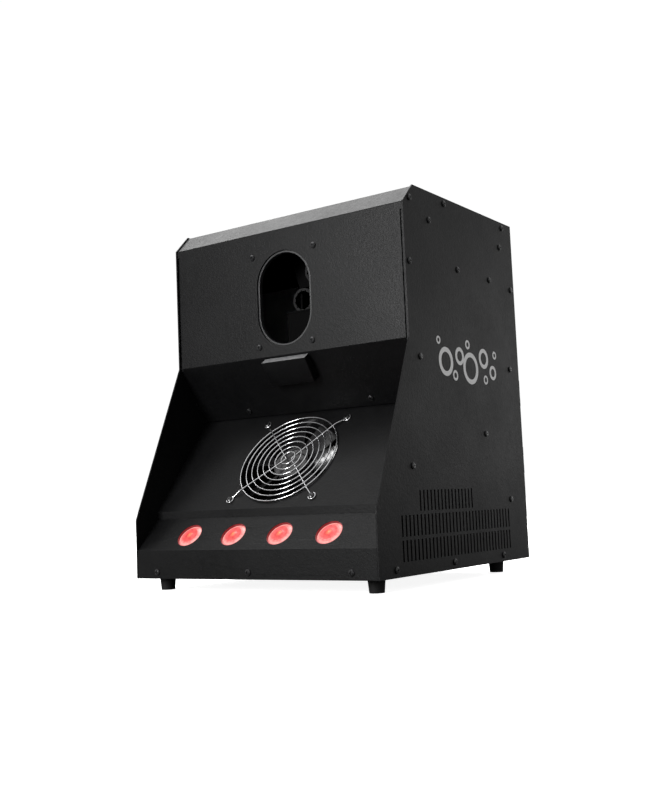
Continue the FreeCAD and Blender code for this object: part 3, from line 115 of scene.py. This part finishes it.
def cleanNormals(piece):
    activate(piece)
    bpy.ops.object.mode_set(mode="EDIT")
    bpy.ops.mesh.select_all(action="SELECT")
    bpy.ops.mesh.remove_doubles(threshold=0.000002)
    bpy.ops.mesh.normals_make_consistent(inside=False)
    bpy.ops.object.mode_set(mode="OBJECT")


def smooth(piece, degrees=35):
    activate(piece)
    bpy.ops.object.shade_smooth_by_angle(angle=math.radians(degrees))


def corners(node):
    return [Vector(corner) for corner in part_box(node)]


def rearMiddle(node):                # middle of the node's rearmost face
    low, high = corners(node)
    return Vector(((low.x + high.x) / 2, high.y, (low.z + high.z) / 2))


def groupSockets(group, inputs, outputs):
    for name, kind, value in inputs:
        socket = group.interface.new_socket(name=name, in_out="INPUT", socket_type=kind)
        if value is not None:
            socket.default_value = value
    for name, kind in outputs:
        group.interface.new_socket(name=name, in_out="OUTPUT", socket_type=kind)


def makeGrainGroup():
    group = bpy.data.node_groups.new("coatGrain", "ShaderNodeTree")
    groupSockets(group, [("Vector", "NodeSocketVector", None), ("Scale", "NodeSocketFloat", 900.0),
                         ("Peel", "NodeSocketFloat", 0.4)],
                 [("Height", "NodeSocketFloat"), ("Speckle", "NodeSocketFloat")])
    tree, link = group.nodes, group.links.new
    inside, outside = tree.new("NodeGroupInput"), tree.new("NodeGroupOutput")
    fine, coarse = tree.new("ShaderNodeTexNoise"), tree.new("ShaderNodeTexVoronoi")
    fine.inputs["Detail"].default_value = 3.0
    coarse.feature = "SMOOTH_F1"
    third = tree.new("ShaderNodeMath")
    third.operation = "MULTIPLY"
    third.inputs[1].default_value = 0.45
    blend = tree.new("ShaderNodeMix")
    link(inside.outputs["Vector"], fine.inputs["Vector"])
    link(inside.outputs["Vector"], coarse.inputs["Vector"])
    link(inside.outputs["Scale"], fine.inputs["Scale"])
    link(inside.outputs["Scale"], third.inputs[0])
    link(third.outputs[0], coarse.inputs["Scale"])
    link(inside.outputs["Peel"], blend.inputs[0])
    link(fine.outputs[0], blend.inputs[2])
    link(coarse.outputs["Distance"], blend.inputs[3])
    link(blend.outputs[0], outside.inputs["Height"])
    cloud, coarser = tree.new("ShaderNodeTexNoise"), tree.new("ShaderNodeMath")
    cloud.inputs["Detail"].default_value = 6.0
    cloud.inputs["Roughness"].default_value = 0.7
    coarser.operation = "MULTIPLY"
    coarser.inputs[1].default_value = 0.22
    link(inside.outputs["Vector"], cloud.inputs["Vector"])
    link(inside.outputs["Scale"], coarser.inputs[0])
    link(coarser.outputs[0], cloud.inputs["Scale"])
    link(cloud.outputs[0], outside.inputs["Speckle"])
    return group


def makeHandlingGroup():
    group = bpy.data.node_groups.new("handlingMarks", "ShaderNodeTree")
    groupSockets(group, [("Vector", "NodeSocketVector", None), ("Scale", "NodeSocketFloat", 14.0),
                         ("Low", "NodeSocketFloat", 0.35), ("High", "NodeSocketFloat", 0.75)],
                 [("Mask", "NodeSocketFloat")])
    tree, link = group.nodes, group.links.new
    inside, outside = tree.new("NodeGroupInput"), tree.new("NodeGroupOutput")
    cloud = tree.new("ShaderNodeTexNoise")
    cloud.inputs["Detail"].default_value = 6.0
    cloud.inputs["Roughness"].default_value = 0.62
    window = tree.new("ShaderNodeMapRange")
    link(inside.outputs["Vector"], cloud.inputs["Vector"])
    link(inside.outputs["Scale"], cloud.inputs["Scale"])
    link(cloud.outputs[0], window.inputs["Value"])
    link(inside.outputs["Low"], window.inputs["From Min"])
    link(inside.outputs["High"], window.inputs["From Max"])
    link(window.outputs[0], outside.inputs["Mask"])
    return group


grainGroup = makeGrainGroup()
handlingGroup = makeHandlingGroup()
print("shader groups ready")


def makeFinish(name, colour, second, rough, roughSpread=0.08, metal=0.0, grain=900.0, peel=0.4,
               bump=0.15, depth=0.0002, marks=14.0, coat=0.0, specular=0.5, speckle=0.25):
    material = bpy.data.materials.new(name)
    material.use_nodes = True
    tree, link = material.node_tree.nodes, material.node_tree.links.new
    shader = tree["Principled BSDF"]
    where = tree.new("ShaderNodeTexCoord")
    texture = tree.new("ShaderNodeGroup")
    texture.node_tree = grainGroup
    texture.inputs["Scale"].default_value = grain
    texture.inputs["Peel"].default_value = peel
    marksNode = tree.new("ShaderNodeGroup")
    marksNode.node_tree = handlingGroup
    marksNode.inputs["Scale"].default_value = marks
    link(where.outputs["Object"], texture.inputs["Vector"])
    link(where.outputs["Object"], marksNode.inputs["Vector"])
    share = tree.new("ShaderNodeMix")
    share.inputs[0].default_value = speckle
    link(marksNode.outputs["Mask"], share.inputs[2])
    link(texture.outputs["Speckle"], share.inputs[3])
    tint = tree.new("ShaderNodeMix")
    tint.data_type = "RGBA"
    tint.inputs[6].default_value = (*colour, 1)
    tint.inputs[7].default_value = (*second, 1)
    link(share.outputs[0], tint.inputs[0])
    link(tint.outputs[2], shader.inputs["Base Color"])
    shine = tree.new("ShaderNodeMapRange")
    shine.inputs["To Min"].default_value = rough - roughSpread
    shine.inputs["To Max"].default_value = rough + roughSpread
    link(share.outputs[0], shine.inputs["Value"])
    link(shine.outputs[0], shader.inputs["Roughness"])
    relief = tree.new("ShaderNodeBump")
    relief.inputs["Strength"].default_value = bump
    relief.inputs["Distance"].default_value = depth
    link(texture.outputs["Height"], relief.inputs["Height"])
    link(relief.outputs[0], shader.inputs["Normal"])
    shader.inputs["Metallic"].default_value = metal
    shader.inputs["Coat Weight"].default_value = coat
    shader.inputs["Specular IOR Level"].default_value = specular
    return material


finishes = {
    "caseBlack": dict(colour=(0.0012, 0.0012, 0.0014), second=(0.0058, 0.0059, 0.0062), rough=0.42,
                      roughSpread=0.12, grain=800.0, peel=0.35, bump=0.75, depth=0.00030, specular=0.15,
                      speckle=0.7),
    "satinBlack": dict(colour=(0.004, 0.004, 0.0044), second=(0.010, 0.010, 0.0108), rough=0.38,
                       grain=1600.0, bump=0.10, specular=0.25),
    # black inner parts, darkened further and nearly without reflection as painted shade for the shadow inside
    # the case
    "innerBlackAndShade": dict(colour=(0.0004, 0.0004, 0.0005), second=(0.0012, 0.0012, 0.0013), rough=0.5,
                       grain=900.0, bump=0.15, specular=0.02),
    # black wheel, darkened further as painted shade so its rings sink into the shadow inside the case
    "wheelBlackAndShade": dict(colour=(0.002, 0.002, 0.0022), second=(0.005, 0.005, 0.0055), rough=0.4,
                       grain=900.0, bump=0.1, specular=0.12),
    "collarGrey": dict(colour=(0.012, 0.0123, 0.013), second=(0.022, 0.0225, 0.023), rough=0.34,
                       grain=1500.0, bump=0.10, specular=0.45),
    "fanPlastic": dict(colour=(0.006, 0.006, 0.0065), second=(0.012, 0.012, 0.0125), rough=0.26,
                       grain=700.0, bump=0.08, specular=0.6),
    "screwBlack": dict(colour=(0.010, 0.010, 0.011), second=(0.030, 0.030, 0.031), rough=0.16,
                       roughSpread=0.05, metal=0.5, grain=2400.0, bump=0.08, marks=160.0, coat=0.6),
    "footRubber": dict(colour=(0.005, 0.005, 0.005), second=(0.012, 0.012, 0.012), rough=0.75,
                       grain=1300.0, bump=0.35, marks=60.0, specular=0.3),
    "plainRubber": dict(colour=(0.012, 0.012, 0.012), second=(0.03, 0.03, 0.03), rough=0.6,
                        grain=1500.0, bump=0.2, marks=60.0),
    "chromeWire": dict(colour=(0.55, 0.55, 0.56), second=(0.70, 0.70, 0.71), rough=0.20,
                       roughSpread=0.05, metal=1.0, grain=1800.0, bump=0.05, marks=90.0),
    "zincMetal": dict(colour=(0.30, 0.31, 0.32), second=(0.45, 0.46, 0.47), rough=0.34, metal=0.9,
                      grain=800.0, bump=0.10, marks=40.0),
    "contactMetal": dict(colour=(0.62, 0.56, 0.42), second=(0.74, 0.68, 0.54), rough=0.24, metal=1.0,
                         grain=1500.0, bump=0.05, marks=120.0),
    "boardGreen": dict(colour=(0.010, 0.060, 0.028), second=(0.018, 0.10, 0.045), rough=0.35,
                       grain=500.0, bump=0.2, marks=90.0),
    "tankMilky": dict(colour=(0.62, 0.64, 0.64), second=(0.72, 0.73, 0.72), rough=0.42, grain=300.0,
                      bump=0.08, marks=20.0),
    # painted sheen: the hood's upward-facing wall is coloured far lighter than the case black, with streaky
    # mottling, standing in for the overhead light it reflects
    "hoodTopSheen": dict(colour=(0.06, 0.06, 0.062), second=(0.30, 0.30, 0.305), rough=0.36, grain=900.0,
                     bump=0.25, marks=260.0, speckle=0.45),
    "decalWhite": dict(colour=(0.78, 0.78, 0.78), second=(0.88, 0.88, 0.88), rough=0.45, grain=1200.0,
                       bump=0.1, marks=50.0),
}
finish = {name: makeFinish(name, **values) for name, values in finishes.items()}
print("finishes ready")

nodeFinish = {
    "caseBlack": ["side_panel_right", "side_panel_left", "top_front_cover", "fan_plate", "led_bar",
                  "base_plate", "rear_panel", "tank_door", "handle_dish"],
    "satinBlack": ["control_frame", "mains_inlet", "power_switch", "switch_rocker", "dmx_input",
                   "dmx_output", "button_menu", "button_up", "button_down", "button_enter",
                   "carry_handle", "fog_tank_cap", "door_latch"],
    "wheelBlackAndShade": ["bubble_wheel"],
    "innerBlackAndShade": ["blower_housing", "blower_rotor", "bubble_tray", "wheel_bracket",
                   "blower_bridge", "cross_rails", "tank_bay", "wheel_motor"],
    "collarGrey": ["outlet_collar"],
    "fanPlastic": ["fan_frame", "fan_rotor"],
    "screwBlack": ["side_screws", "front_screws", "rear_screws", "fan_screws"],
    "footRubber": ["foot_front_left", "foot_front_right", "foot_rear_left", "foot_rear_right"],
    "plainRubber": ["fog_hose", "suction_hose"],
    "chromeWire": ["fan_guard"],
    "zincMetal": ["blower_motor", "fog_heater", "fog_nozzle", "fog_pump", "door_hinges"],
    "boardGreen": ["led_strip", "control_board", "power_supply"],
    "tankMilky": ["fog_tank"],
}
for name, members in nodeFinish.items():
    for member in members:
        piece = nodes[member]
        if not piece.material_slots:
            piece.data.materials.append(finish[name])
        for slot in piece.material_slots:
            slot.material = finish[name]


def soften(node, width, segments=2, degrees=38):
    piece = nodes[node]
    weld = piece.modifiers.new("weld", "WELD")
    weld.merge_threshold = 0.000004
    bevel = piece.modifiers.new("soften", "BEVEL")
    bevel.width = width
    bevel.segments = segments
    bevel.limit_method = "ANGLE"
    bevel.angle_limit = math.radians(degrees)
    bevel.harden_normals = True


for member in ("side_panel_right", "side_panel_left", "rear_panel", "tank_door", "outlet_collar"):
    soften(member, 0.35 * mm)
for member in ("top_front_cover", "fan_plate", "led_bar"):
    soften(member, 0.7 * mm, segments=3)
print("carried-over nodes dressed")


def slopePlace(centre, normal):      # stands a piece made flat on a sloping face
    across = Vector((1, 0, 0))
    up = normal.cross(across).normalized()
    turn = Matrix((across, up, normal)).transposed().to_4x4()
    return Matrix.Translation(centre) @ turn


lamp = dict(radius=14.35 * mm, back=14 * mm, lipDrop=0.2 * mm, faceRadius=13.8 * mm, steps=64,
            tilt=45.8, rimRadius=17 * mm, proud=1.6 * mm,
            terraces=[(0.4, 0), (0.15, -2.2), (0.5, 0), (3.9, 2.1), (0.5, 0), (3.2, -0.5), (3.0, 0.9),
                      (1.2, 0.25)])                  # inset, then lift, in mm


def makeLampMaterial():
    material = bpy.data.materials.new("lampRed")
    material.use_nodes = True
    tree, link = material.node_tree.nodes, material.node_tree.links.new
    shader = tree["Principled BSDF"]
    uv = tree.new("ShaderNodeUVMap")
    uv.uv_map = "disc"
    centre = tree.new("ShaderNodeMapping")
    centre.inputs["Location"].default_value = (-0.475, -0.53, 0)
    link(uv.outputs[0], centre.inputs[0])
    radius = tree.new("ShaderNodeVectorMath")
    radius.operation = "LENGTH"
    link(centre.outputs[0], radius.inputs[0])
    ramp = tree.new("ShaderNodeValToRGB")
    ramp.color_ramp.interpolation = "EASE"
    stops = ramp.color_ramp.elements
    stops[0].position, stops[0].color = 0.0, (1.0, 0.36, 0.13, 1)
    stops[1].position, stops[1].color = 1.0, (0.30, 0.02, 0.03, 1)
    for position, colour in ((0.07, (0.95, 0.19, 0.11, 1)), (0.16, (0.86, 0.085, 0.085, 1)),
                             (0.29, (0.86, 0.095, 0.095, 1)), (0.345, (0.95, 0.25, 0.24, 1)),
                             (0.42, (1.0, 0.46, 0.43, 1)), (0.475, (0.97, 0.33, 0.32, 1))):
        stop = stops.new(position)
        stop.color = colour
    link(radius.outputs["Value"], ramp.inputs[0])
    mottle = tree.new("ShaderNodeTexNoise")
    mottle.inputs["Scale"].default_value = 7.0
    mottle.inputs["Detail"].default_value = 2.0
    link(uv.outputs[0], mottle.inputs["Vector"])
    petals = tree.new("ShaderNodeMix")
    petals.data_type = "RGBA"
    petals.blend_type = "MULTIPLY"
    window = tree.new("ShaderNodeMapRange")
    window.inputs["From Min"].default_value = 0.35
    window.inputs["From Max"].default_value = 0.65
    link(mottle.outputs[0], window.inputs["Value"])
    dim = tree.new("ShaderNodeMix")
    dim.data_type = "RGBA"
    dim.inputs[6].default_value = (0.80, 0.70, 0.70, 1)
    dim.inputs[7].default_value = (1.12, 1.22, 1.18, 1)
    link(window.outputs[0], dim.inputs[0])
    petals.inputs[0].default_value = 1.0
    link(ramp.outputs[0], petals.inputs[6])
    link(dim.outputs[2], petals.inputs[7])
    link(petals.outputs[2], shader.inputs["Emission Color"])
    shader.inputs["Base Color"].default_value = (0.16, 0.018, 0.018, 1)
    shader.inputs["Emission Strength"].default_value = 0.95
    shader.inputs["Roughness"].default_value = 0.22
    shader.inputs["Specular IOR Level"].default_value = 0.3
    return material


lampMaterial = makeLampMaterial()
# the lens rim glows deep red: lamp light, and also painted light standing in for the red light the lens
# throws on the wall of its hole
lampEdge = makeFinish("lampEdge", (0.10, 0.004, 0.006), (0.16, 0.010, 0.012), 0.25, grain=700.0, bump=0.05)
lampEdgeShader = lampEdge.node_tree.nodes["Principled BSDF"]
lampEdgeShader.inputs["Emission Color"].default_value = (0.30, 0.002, 0.006, 1)
lampEdgeShader.inputs["Emission Strength"].default_value = 0.30
lampTilt = math.radians(lamp["tilt"])
lampNormal = Vector((0, -math.sin(lampTilt), math.cos(lampTilt)))


def makeLamp(index, centre):
    deselect()
    bpy.ops.mesh.primitive_cylinder_add(vertices=lamp["steps"], radius=lamp["radius"], depth=lamp["back"],
                                        location=(0, 0, -lamp["back"] / 2 - lamp["lipDrop"]),
                                        end_fill_type="NGON")
    piece = settle(bpy.context.object)
    piece.name = f"lamp_lens_{index}"
    selectFaces(piece, lambda face: face.normal.z > 0.9)
    for inset, lift in lamp["terraces"]:
        bpy.ops.mesh.inset(thickness=inset * mm)
        bpy.ops.transform.translate(value=(0, 0, lift * mm))
    bpy.ops.object.mode_set(mode="OBJECT")
    disc = piece.data.uv_layers.new(name="disc")
    for loop in piece.data.loops:
        spot = piece.data.vertices[loop.vertex_index].co
        disc.data[loop.index].uv = (0.5 + spot.x / lamp["radius"] / 2, 0.5 + spot.y / lamp["radius"] / 2)
    piece.data.materials.append(lampMaterial)
    piece.data.materials.append(lampEdge)
    for face in piece.data.polygons:
        if Vector(face.center[:2]).length > lamp["faceRadius"] - 0.05 * mm:
            face.material_index = 1
    smooth(piece, 50)
    settle(piece, slopePlace(centre, lampNormal))
    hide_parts(f"led_lens_{index}")
    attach(piece, "case")


for index in range(1, 5):
    low, high = corners(f"led_lens_{index}")
    rimCentre = Vector(((low.x + high.x) / 2, low.y + lamp["rimRadius"] * math.cos(lampTilt),
                        high.z - lamp["rimRadius"] * math.sin(lampTilt)))
    makeLamp(index, rimCentre + lampNormal * lamp["proud"])
print("lamps ready")


hood = dict(width=57 * mm, length=29 * mm, rise=9 * mm, wall=1.5 * mm, edge=0.5 * mm)


def hoodSlope():                     # degrees; the angle at which the hood's box has the height it has
    low, high = corners("outlet_hood")
    drop = high.z - low.z

    def misfit(degrees):
        lean = math.radians(degrees)
        return abs(hood["length"] * math.sin(lean) + hood["rise"] * math.cos(lean) - drop)

    return min((hundredth / 100 for hundredth in range(3000, 7000)), key=misfit)


def makeHood(degrees):
    low, high = corners("outlet_hood")
    lean = math.radians(degrees)
    down = Vector((0, math.cos(lean), -math.sin(lean)))
    outward = Vector((0, -math.sin(lean), -math.cos(lean)))
    across = Vector((1, 0, 0))
    topCorner = Vector((0, low.y + hood["rise"] * math.sin(lean), high.z))
    place = Matrix.Translation(topCorner) @ Matrix((across, down, -outward)).transposed().to_4x4()
    deselect()
    bpy.ops.mesh.primitive_cube_add(size=1, location=(0, hood["length"] / 2, -hood["rise"] / 2))
    piece = bpy.context.object
    piece.name = "fog_hood"
    piece.scale = (hood["width"], hood["length"], hood["rise"])
    settle(piece)
    selectFaces(piece, lambda face: face.normal.z > 0.9 or face.normal.y > 0.9)
    bpy.ops.mesh.delete(type="FACE")
    bpy.ops.object.mode_set(mode="OBJECT")
    shell = piece.modifiers.new("shell", "SOLIDIFY")
    shell.thickness = hood["wall"]
    shell.offset = -1
    rounding = piece.modifiers.new("rounding", "BEVEL")
    rounding.width = hood["edge"]
    rounding.segments = 3
    rounding.limit_method = "ANGLE"
    rounding.angle_limit = math.radians(40)
    applyModifiers(piece)
    cleanNormals(piece)
    piece.data.materials.append(finish["caseBlack"])
    piece.data.materials.append(finish["hoodTopSheen"])
    for face in piece.data.polygons:      # the upward-facing top wall, coloured lighter as painted sheen for the overhead light it catches
        if face.normal.y < -0.8 and face.center.y < 0.3 * mm:
            face.material_index = 1
    smooth(piece, 40)
    settle(piece, place)
    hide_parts("outlet_hood")
    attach(piece, "case")


hoodDegrees = hoodSlope()
makeHood(hoodDegrees)
print("hood ready, slope", hoodDegrees)

panelLow, panelHigh = corners("side_panel_right")

# across, up, radius and width of each ring in mm, about a point given from the panel's front foot
decal = dict(y=197 * mm, z=212 * mm, gap=0.02 * mm, lift=0.08 * mm, steps=48,
             rings=[(-52, -2, 15, 5.0), (-22, 6, 9.5, 4.0), (2, -5, 17, 5.0), (33, 8, 11, 4.4),
                    (54, -6, 8, 3.4), (36, -15, 5, 2.2), (-33, -15, 5.5, 2.6),
                    (-3, 20, 5, 2.4), (60, 14, 4.5, 2.2), (-66, 19, 4.2, 2.0)])


def makeDecal():
    turn = Matrix(((0, 0, 1), (1, 0, 0), (0, 1, 0))).to_4x4()      # flat on the floor to flat on the panel
    rings = []
    for across, up, radius, width in decal["rings"]:
        deselect()
        bpy.ops.mesh.primitive_circle_add(vertices=decal["steps"], radius=radius * mm, fill_type="NGON",
                                          location=(0, 0, 0))
        ring = bpy.context.object
        activate(ring)
        bpy.ops.object.mode_set(mode="EDIT")
        bpy.ops.mesh.select_all(action="SELECT")
        bpy.ops.mesh.inset(thickness=width * mm)
        bpy.ops.mesh.delete(type="FACE")
        bpy.ops.mesh.select_all(action="SELECT")
        bpy.ops.mesh.extrude_region_move(TRANSFORM_OT_translate={"value": (0, 0, decal["lift"])})
        bpy.ops.object.mode_set(mode="OBJECT")
        spot = Vector((panelHigh.x + decal["gap"], panelLow.y + decal["y"] + across * mm,
                       panelLow.z + decal["z"] + up * mm))
        settle(ring, Matrix.Translation(spot) @ turn)
        rings.append(ring)
    cluster = joinPieces("ring_print", rings)
    cleanNormals(cluster)
    cluster.data.materials.append(finish["decalWhite"])
    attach(cluster, "case")


makeDecal()
print("side print ready")

display = dict(right=-18 * mm, up=4 * mm, back=5.4 * mm, width=41.4 * mm, height=15.4 * mm, thick=0.5 * mm,
               edge=0.15 * mm, columns=16)
legend = dict(radius=2.2 * mm, lift=0.12 * mm,
              marks=[("button_menu", 4, 45), ("button_up", 3, 0), ("button_down", 3, 180),
                     ("button_enter", 24, 0)])          # button, sides, turn in degrees
inletPins = dict(width=2.1 * mm, height=4.1 * mm, length=9.6 * mm, back=5.4 * mm,
                 edge=0.5 * mm, spots=[(-7 * mm, -2 * mm), (7 * mm, -2 * mm), (0, 2 * mm)])
dataPins = dict(radius=1.3 * mm, circle=4 * mm, length=8 * mm, back=7 * mm, edge=0.5 * mm,
                angles=(-90, 30, 150))


def makeDisplayMaterial():
    material = bpy.data.materials.new("displayGlow")
    material.use_nodes = True
    tree, link = material.node_tree.nodes, material.node_tree.links.new
    shader = tree["Principled BSDF"]
    uv = tree.new("ShaderNodeUVMap")
    uv.uv_map = "screen"
    rows = tree.new("ShaderNodeTexBrick")          # rows of dark character cells
    rows.offset = 0.0
    rows.inputs["Scale"].default_value = 1.0
    rows.inputs["Brick Width"].default_value = 1.0 / display["columns"]
    rows.inputs["Row Height"].default_value = display["height"] / display["width"] / 2
    rows.inputs["Mortar Size"].default_value = 0.012
    rows.inputs["Color1"].default_value = (0.010, 0.060, 0.045, 1)
    rows.inputs["Color2"].default_value = (0.045, 0.300, 0.200, 1)
    rows.inputs["Mortar"].default_value = (0.060, 0.420, 0.270, 1)
    dots = tree.new("ShaderNodeTexChecker")
    dots.inputs["Scale"].default_value = 80.0
    dots.inputs["Color1"].default_value = (1, 1, 1, 1)
    dots.inputs["Color2"].default_value = (0.72, 0.72, 0.72, 1)
    share = tree.new("ShaderNodeMix")
    share.data_type = "RGBA"
    share.blend_type = "MULTIPLY"
    share.inputs[0].default_value = 1.0
    link(uv.outputs[0], rows.inputs["Vector"])
    link(uv.outputs[0], dots.inputs["Vector"])
    link(rows.outputs["Color"], share.inputs[6])
    link(dots.outputs["Color"], share.inputs[7])
    link(share.outputs[2], shader.inputs["Base Color"])
    link(share.outputs[2], shader.inputs["Emission Color"])
    shader.inputs["Emission Strength"].default_value = 0.8
    shader.inputs["Roughness"].default_value = 0.12
    return material


def makeDisplay():
    centre = rearMiddle("control_frame")
    deselect()
    place = centre + Vector((display["right"], -display["back"], display["up"]))
    bpy.ops.mesh.primitive_cube_add(size=1, location=place)
    piece = bpy.context.object
    piece.name = "display_screen"
    piece.scale = (display["width"], display["thick"], display["height"])
    settle(piece)
    bevelPiece(piece, display["edge"])
    screen = piece.data.uv_layers.new(name="screen")
    for loop in piece.data.loops:
        spot = piece.data.vertices[loop.vertex_index].co - centre
        screen.data[loop.index].uv = (0.5 + (display["right"] - spot.x) / display["width"],
                                      (spot.z - display["up"]) / display["width"])
    piece.data.materials.append(makeDisplayMaterial())
    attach(piece, "case")


def makeLegend(node, sides, turn):
    centre = rearMiddle(node)
    deselect()
    bpy.ops.mesh.primitive_cylinder_add(vertices=sides, radius=legend["radius"], depth=legend["lift"],
                                        location=(0, 0, 0))
    piece = bpy.context.object
    piece.name = f"legend_{node}"
    settle(piece, Matrix.Translation(centre) @ Matrix.Rotation(math.radians(turn), 4, "Y")
           @ Matrix.Rotation(math.radians(-90), 4, "X"))
    bevelPiece(piece, legend["lift"] / 4, 1)
    piece.data.materials.append(finish["decalWhite"])
    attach(piece, node)


def makeInletPins():
    centre = rearMiddle("mains_inlet")
    blades = []
    for across, up in inletPins["spots"]:
        deselect()
        spot = centre + Vector((across, -inletPins["back"] - inletPins["length"] / 2, up))
        bpy.ops.mesh.primitive_cube_add(size=1, location=spot)
        blade = bpy.context.object
        blade.scale = (inletPins["width"], inletPins["length"], inletPins["height"])
        settle(blade)
        bevelPiece(blade, inletPins["edge"])
        blades.append(blade)
    whole = joinPieces("inlet_blades", blades)
    whole.data.materials.append(finish["contactMetal"])
    smooth(whole)
    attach(whole, "case")


def makeDataPins():
    centre = rearMiddle("dmx_input")
    pins = []
    for angle in dataPins["angles"]:
        deselect()
        bpy.ops.mesh.primitive_cylinder_add(vertices=24, radius=dataPins["radius"], depth=dataPins["length"],
                                            location=(0, 0, 0))
        pin = bpy.context.object
        turn = math.radians(angle)
        spot = centre + Vector((dataPins["circle"] * math.cos(turn),
                                -dataPins["back"] - dataPins["length"] / 2,
                                dataPins["circle"] * math.sin(turn)))
        settle(pin, Matrix.Translation(spot) @ Matrix.Rotation(math.radians(-90), 4, "X"))
        bevelPiece(pin, dataPins["edge"], 3)
        pins.append(pin)
    whole = joinPieces("data_contacts", pins)
    whole.data.materials.append(finish["contactMetal"])
    smooth(whole)
    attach(whole, "case")


makeDisplay()
for node, sides, turn in legend["marks"]:
    makeLegend(node, sides, turn)
makeInletPins()
makeDataPins()
print("rear details ready")


# angles in degrees, lens in millimetres, target from the panel's front foot
cameraAt = dict(azimuth=34.911, elevation=-5.537, roll=-2.415, distance=1.1641, target=(0.0, 0.150, 0.18447),
                lens=47.728, shift=(-0.004893, 0.003479))


def makeCamera(values):
    azimuth, elevation, roll = (math.radians(values[name]) for name in ("azimuth", "elevation", "roll"))
    back = Vector((math.sin(azimuth) * math.cos(elevation), -math.cos(azimuth) * math.cos(elevation),
                   math.sin(elevation)))
    levelRight = (-back).cross(Vector((0, 0, 1))).normalized()
    levelUp = levelRight.cross(-back).normalized()
    right = math.cos(roll) * levelRight + math.sin(roll) * levelUp
    up = math.cos(roll) * levelUp - math.sin(roll) * levelRight
    target = Vector(values["target"]) + Vector((0, panelLow.y, panelLow.z))
    data = bpy.data.cameras.new("studioCamera")
    data.lens = values["lens"]
    data.sensor_width = 36
    data.shift_x, data.shift_y = values["shift"]
    data.clip_end = 50
    camera = bpy.data.objects.new("studioCamera", data)
    bpy.context.scene.collection.objects.link(camera)
    turn = Matrix((right, up, back)).transposed().to_4x4()
    camera.matrix_world = Matrix.Translation(target + back * values["distance"]) @ turn
    bpy.context.scene.camera = camera


makeCamera(cameraAt)

lights = {
    "overheadBox": dict(place=(-0.6, 0.75, 1.75), aim=(0, 0, 0.35), size=(2.0, 1.3), power=38),
    "foreBox": dict(place=(-0.55, -0.60, 1.75), aim=(0, -0.05, 0.25), size=(1.6, 1.0), power=6.4),
    "frontBox": dict(place=(-0.55, -2.1, 0.70), aim=(0.10, 0, 0.25), size=(0.6, 0.8), power=40),
    "sideBox": dict(place=(1.5, 3.2, 0.45), aim=(0.15, 0.1, 0.18), size=(1.4, 1.1), power=3.9),
    "rearBox": dict(place=(-1.3, 2.4, 1.0), aim=(0, 0.1, 0.2), size=(1.4, 1.2), power=60),
}
room = dict(seen=1.02, unseen=0.52)                  # strength of the white room, to the eye and to the piece
ground = dict(size=40, gap=0.2 * mm, unseen=(0.13, 0.13, 0.13, 1), glow=0.90)


def softBox(name, place, aim, size, power):
    data = bpy.data.lights.new(name, "AREA")
    data.shape = "RECTANGLE"
    data.size, data.size_y = size
    data.energy = power
    light = bpy.data.objects.new(name, data)
    bpy.context.scene.collection.objects.link(light)
    light.location = place
    light.rotation_euler = (Vector(aim) - Vector(place)).to_track_quat("-Z", "Y").to_euler()


def makeRoom():
    world = bpy.data.worlds.new("studioWhite")
    bpy.context.scene.world = world
    world.use_nodes = True
    tree, link = world.node_tree.nodes, world.node_tree.links.new
    seen = tree["Background"]
    seen.inputs[0].default_value = (1, 1, 1, 1)
    seen.inputs[1].default_value = room["seen"]
    unseen = tree.new("ShaderNodeBackground")
    unseen.inputs[0].default_value = (1, 1, 1, 1)
    unseen.inputs[1].default_value = room["unseen"]
    path = tree.new("ShaderNodeLightPath")
    pick = tree.new("ShaderNodeMixShader")
    link(path.outputs["Is Camera Ray"], pick.inputs[0])
    link(unseen.outputs[0], pick.inputs[1])
    link(seen.outputs[0], pick.inputs[2])
    link(pick.outputs[0], tree["World Output"].inputs[0])


def makeFloor():
    deselect()
    bpy.ops.mesh.primitive_plane_add(size=ground["size"], location=(0, 0, cadBox[0][2] - ground["gap"]))
    floor = bpy.context.object
    floor.name = "studio_floor"
    material = makeFinish("paleFloor", (0.84, 0.84, 0.84), (0.88, 0.88, 0.88), 0.7, grain=60.0, bump=0.02,
                          marks=1.5, specular=0.1)
    tree, link = material.node_tree.nodes, material.node_tree.links.new
    shader = tree["Principled BSDF"]
    path = tree.new("ShaderNodeLightPath")
    share = tree.new("ShaderNodeMix")               # pale to the eye, darker to the bounced light
    share.data_type = "RGBA"
    share.inputs[6].default_value = ground["unseen"]
    link(path.outputs["Is Camera Ray"], share.inputs[0])
    link(shader.inputs["Base Color"].links[0].from_socket, share.inputs[7])
    link(share.outputs[2], shader.inputs["Base Color"])
    glow = tree.new("ShaderNodeMath")
    glow.operation = "MULTIPLY"
    glow.inputs[1].default_value = ground["glow"]
    link(path.outputs["Is Camera Ray"], glow.inputs[0])
    link(glow.outputs[0], shader.inputs["Emission Strength"])
    shader.inputs["Emission Color"].default_value = (1, 1, 1, 1)
    floor.data.materials.append(material)


for name, values in lights.items():
    softBox(name, **values)
makeRoom()
makeFloor()
bpy.context.scene.view_settings.view_transform = "Standard"
print("studio ready")
